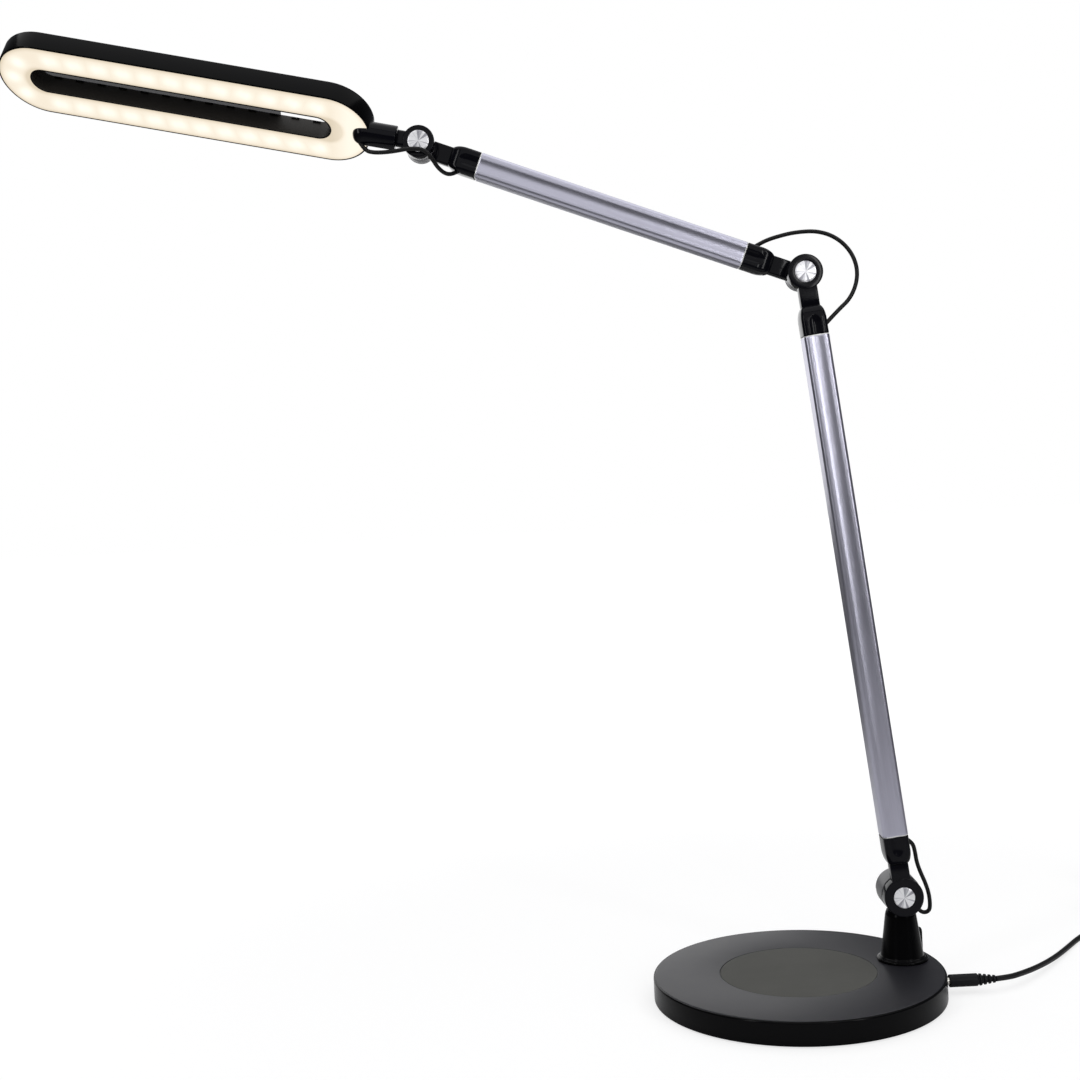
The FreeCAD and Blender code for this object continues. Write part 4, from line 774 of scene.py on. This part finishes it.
hinge_leads = {
    "base_loop": ("base_lead", "post", "lower_arm", (0, 0, 64), (0, 0, 112), [
        (89.7, 6, 116.4), (94.4, 7.2, 113.2), (96.3, 8.6, 106), (97.6, 10, 97),
        (100.6, 11.5, 88.4), (104.2, 13, 80), (106.9, 14.4, 71.5), (107.9, 15.6, 63.8),
        (107.8, 16.5, 57.7), (105.4, 17.2, 55.2), (101.8, 17.9, 55.2), (99.3, 18.4, 57.7),
        (98.7, 18.8, 61.8), (98.7, 19, 65.9)]),
    "elbow_loop": ("elbow_lead", "lower_arm", "upper_arm", (0, 0, 524), (0, 0, 580), [
        (-6, 23, 581.2), (-1.2, 22.8, 583.7), (6, 22, 586.8), (14, 21, 588.8),
        (23.5, 19.8, 590.6), (33.5, 18.3, 591.2), (43.5, 16.8, 590.6), (53.5, 15.2, 587.2),
        (62.5, 13.6, 580.6), (69.3, 12, 571), (72.4, 10.5, 559.6), (71, 9.2, 547.6),
        (65, 8, 536), (56, 7, 528.4), (47.4, 6, 520)]),
    "head_loop": ("head_lead_arm", "upper_arm", "head_neck", (-236, 0, 0), (-256, 0, 0), [
        (-232.6, 20, 651.6), (-236.8, 15.5, 648.8), (-241.8, 10.4, 649.2),
        (-246.6, 5.2, 653.2), (-250.2, 0.8, 659.4), (-255.4, -2.4, 665.4),
        (-261, -2.8, 665.9)]),
    "head_inlet": ("head_lead_neck", "head_neck", "head", (-264, 0, 0), (-300, 0, 0), [
        (-261.1, -2.81, 665.91), (-267, -3.2, 666.4), (-276, -2.8, 665.2),
        (-285, -2, 664.7), (-293.6, -0.6, 665.2), (-300.4, 1.6, 667.4),
        (-304.2, 4, 673.8)]),
}
in_hole, lead_radius = 2.5, 1.6
for name, (node, near_body, far_body, near, far, route) in hinge_leads.items():
    line = spline_points(name, route)
    onward = line[[0, -1]] - line[[1, -2]]
    ends = line[[0, -1]] + in_hole * onward / np.linalg.norm(onward, axis=1)[:, None]
    line = np.vstack([ends[:1], line, ends[1:]])
    loop = skin(name, JACKET, tube_along(line, lead_radius))
    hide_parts(node)
    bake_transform(loop)


# ---------------------------------------------------------------- plug and adapter
# Moulded barrel plug with a straight body and a ribbed, tapering boot, and the plug-top
# adapter that lies beyond the coil.
def lying(x, y, z):
    """Frame with local Z along world X."""
    return np.array([x, y, z], float), np.array([(0, 1, 0), (0, 0, 1), (1, 0, 0)], float)


plug_at = lying(113.4, -11.4, 9.5)
MOULDED = finish("moulded_plug", (0.006, 0.006, 0.0075), 0.36, grain=900, bump=0.2, depth=4e-5,
                 specular=0.12)
NICKEL = finish("nickel_barrel", (0.7, 0.68, 0.63), 0.18, metallic=1.0)
plug_body = skin("plug_body", MOULDED, turned([
    (0, 0, 0), (4.8, 0, 0.5), (4.8, 21.6, 0.7), (4.1, 22, 0), (0, 22, 0)], plug_at, 48))
plug_barrel = skin("plug_barrel", NICKEL, turned([
    (1.2, -10.3, 0), (2.75, -10.3, 0.2), (2.75, 0.3, 0), (1.2, 0.3, 0)], plug_at, 40, ring=True))
ribs = [(0, 22.02, 0), (3.5, 22.02, 0.1)]
for k in range(4):
    low, out = 23.0 + 3.5 * k, 4.6 - 0.5 * k
    ribs += [(out - 1.25, low, 0.2), (out, low + 0.1, 0.45), (out - 0.25, low + 1.9, 0.45),
             (out - 1.4, low + 2.0, 0.2)]
ribs += [(2.2, 36.0, 0.2), (0, 36.0, 0)]
boot = skin("plug_boot_ribs", MOULDED, turned(ribs, plug_at, 48))
mount(plug_body, "base", "plug", "dc_plug")
mount(plug_barrel, "base", "plug")
mount(boot, "base", "plug", "plug_boot")
dress(MOULDED, "adapter")
dress(JACKET, "cord_tie")


# ---------------------------------------------------------------- supply lead
# Round two-core lead from the plug, away over the table, into a tied coil and on to
# the adapter: 1.5 m of 4.2 mm extruded jacket with a fine satin skin.
LEAD_OUT = [(149.5, -11.4, 9.5), (161, -8, 9.1), (173.5, 2.4, 8.1), (187, 16, 6.7),
            (202, 33.5, 5.1), (217, 53, 3.7), (234, 77.5, 2.5), (252, 103, 2.1),
            (272, 124.5, 2.1), (296, 138, 2.1)]
LEAD_TAIL = [(350.6, 179, 6.3), (352.4, 189, 7.2), (353, 197, 8)]
coil_centre, coil_steps = np.array([322.0, 168.0]), 14
# Turns of the coil: radius and height of each. The lead crosses over to the next one in the
# last eighth of a turn.
coil_rows = np.array([(28.2, 2.1), (24, 2.1), (19.8, 2.1), (19.8, 6.3), (19.8, 10.5),
                      (24, 10.5), (24, 6.3), (28.2, 10.5), (28.2, 6.3)])
turn_at = np.arange(0, 8.25 * coil_steps + 0.5) / coil_steps
crossing = 0.12
row_now = np.clip(np.floor(turn_at + crossing), 0, 8)
shift = np.clip((turn_at + crossing - row_now) / crossing, 0, 1)
before = coil_rows[np.clip(row_now - 1, 0, 8).astype(int)]
after = coil_rows[row_now.astype(int)]
rows = np.where(row_now[:, None] > 0, before + (after - before) * shift[:, None], after)
bearing = math.radians(-90) + turn_at * 2 * math.pi
# A spline runs inside its control points, so these stand out by a little over one per cent.
spread = 1.013
coil_points = np.column_stack([coil_centre[0] + rows[:, 0] * np.cos(bearing) * spread,
                               coil_centre[1] + rows[:, 0] * np.sin(bearing) * spread,
                               rows[:, 1]])
supply_points = np.vstack([LEAD_OUT, coil_points, LEAD_TAIL]) / 1000
supply_lead = spline_line("supply_lead", supply_points, 0.0042 / 2, JACKET)
mount(supply_lead, "base", "cord", "power_cord", "cord_coil")


# ---------------------------------------------------------------- floor and light
# A pale sheet of floor that runs out into a pale surround. Broad soft boxes hang overhead,
# behind and in front of the lamp, with upright strips in front on either side for the bright
# lines in the gloss black. The room itself is dim, so the black stays black.
def pale_floor():
    """A flat sheet with faint shadows near the lamp, which turns into the plain pale tone of
    the surround with distance. What the lamp mirrors of it is a pale table in a dim room."""
    reach = 14.0
    mesh = bpy.data.meshes.new("floor")
    mesh.from_pydata([(-reach, -reach, 0), (reach, -reach, 0), (reach, reach, 0),
                      (-reach, reach, 0)], [], [(0, 1, 2, 3)])
    floor = bpy.data.objects.new("floor", mesh)
    bpy.context.scene.collection.objects.link(floor)
    material = bpy.data.materials.new("pale_floor")
    material.use_nodes = True
    nodes, links = material.node_tree.nodes, material.node_tree.links
    shader = nodes["Principled BSDF"]
    shader.inputs["Base Color"].default_value = (0.93, 0.93, 0.93, 1)
    shader.inputs["Roughness"].default_value = 0.9
    shader.inputs["Specular IOR Level"].default_value = 0.0
    place, far = nodes.new("ShaderNodeTexCoord"), nodes.new("ShaderNodeVectorMath")
    far.operation = "LENGTH"
    fade = nodes.new("ShaderNodeMapRange")
    fade.interpolation_type = "SMOOTHSTEP"
    fade.inputs["From Min"].default_value, fade.inputs["From Max"].default_value = 0.35, 1.3
    veil = nodes.new("ShaderNodeMapRange")
    veil.inputs["To Min"].default_value = 0.65
    plain, dim = nodes.new("ShaderNodeEmission"), nodes.new("ShaderNodeBsdfDiffuse")
    plain.inputs["Color"].default_value = (1, 1, 1, 1)
    plain.inputs["Strength"].default_value = 1.1
    dim.inputs["Color"].default_value = (0.1, 0.1, 0.1, 1)
    table, room = nodes.new("ShaderNodeBsdfDiffuse"), nodes.new("ShaderNodeMixShader")
    table.inputs["Color"].default_value = (0.8, 0.8, 0.8, 1)
    ray = nodes.new("ShaderNodeLightPath")
    seen, whole = nodes.new("ShaderNodeMixShader"), nodes.new("ShaderNodeMixShader")
    links.new(place.outputs["Object"], far.inputs[0])
    links.new(far.outputs["Value"], fade.inputs["Value"])
    links.new(fade.outputs[0], veil.inputs["Value"])
    links.new(veil.outputs[0], seen.inputs[0])
    links.new(fade.outputs[0], room.inputs[0])
    links.new(table.outputs[0], room.inputs[1])
    links.new(dim.outputs[0], room.inputs[2])
    links.new(shader.outputs[0], seen.inputs[1])
    links.new(plain.outputs[0], seen.inputs[2])
    links.new(ray.outputs["Is Camera Ray"], whole.inputs[0])
    links.new(room.outputs[0], whole.inputs[1])
    links.new(seen.outputs[0], whole.inputs[2])
    links.new(whole.outputs[0], nodes["Material Output"].inputs["Surface"])
    mesh.materials.append(material)


pale_floor()


def soft_box(name, place, aim, size, power):
    """A rectangular soft box that lights and is mirrored, but isn't in the picture."""
    lamp = bpy.data.lights.new(name, "AREA")
    lamp.shape, lamp.size, lamp.size_y = "RECTANGLE", size[0], size[1]
    lamp.energy = power
    box = bpy.data.objects.new(name, lamp)
    box.location = place
    box.rotation_euler = (Vector(aim) - Vector(place)).to_track_quat("-Z", "Y").to_euler()
    box.visible_camera = False
    bpy.context.scene.collection.objects.link(box)


soft_box("overhead", (0.1, 0.3, 2.4), (0.05, 0.3, 0), (4.0, 4.0), 60)
soft_box("back_wall", (-0.9, 3.2, 0.9), (0, 0, 0.1), (3.0, 1.5), 18)
soft_box("front_wall", (0, -2.6, 1.72), (0, 0, 0.5), (3.2, 2.0), 15)
soft_box("left_strip", (-1.5, -1.4, 0.95), (0.05, 0, 0.5), (0.25, 1.2), 7)
soft_box("right_strip", (1.2, -1.6, 0.9), (0.05, 0, 0.5), (0.25, 1.2), 7)
soft_box("near_strip", (0.45, -1.75, 0.8), (0.03, 0, 0.6), (0.1, 0.5), 1.5)

world = bpy.data.worlds.new("studio")
bpy.context.scene.world = world
world.use_nodes = True
nodes, links = world.node_tree.nodes, world.node_tree.links
surround = nodes["Background"]
surround.inputs["Color"].default_value = (0.9, 0.92, 1.0, 1)
surround.inputs["Strength"].default_value = 0.12
seen = nodes.new("ShaderNodeBackground")
seen.inputs["Color"].default_value = (1, 1, 1, 1)
choose = nodes.new("ShaderNodeMixShader")
ray = nodes.new("ShaderNodeLightPath")
links.new(ray.outputs["Is Camera Ray"], choose.inputs[0])
links.new(surround.outputs[0], choose.inputs[1])
links.new(seen.outputs[0], choose.inputs[2])
links.new(choose.outputs[0], nodes["World Output"].inputs["Surface"])
bpy.context.scene.view_settings.view_transform = "Standard"
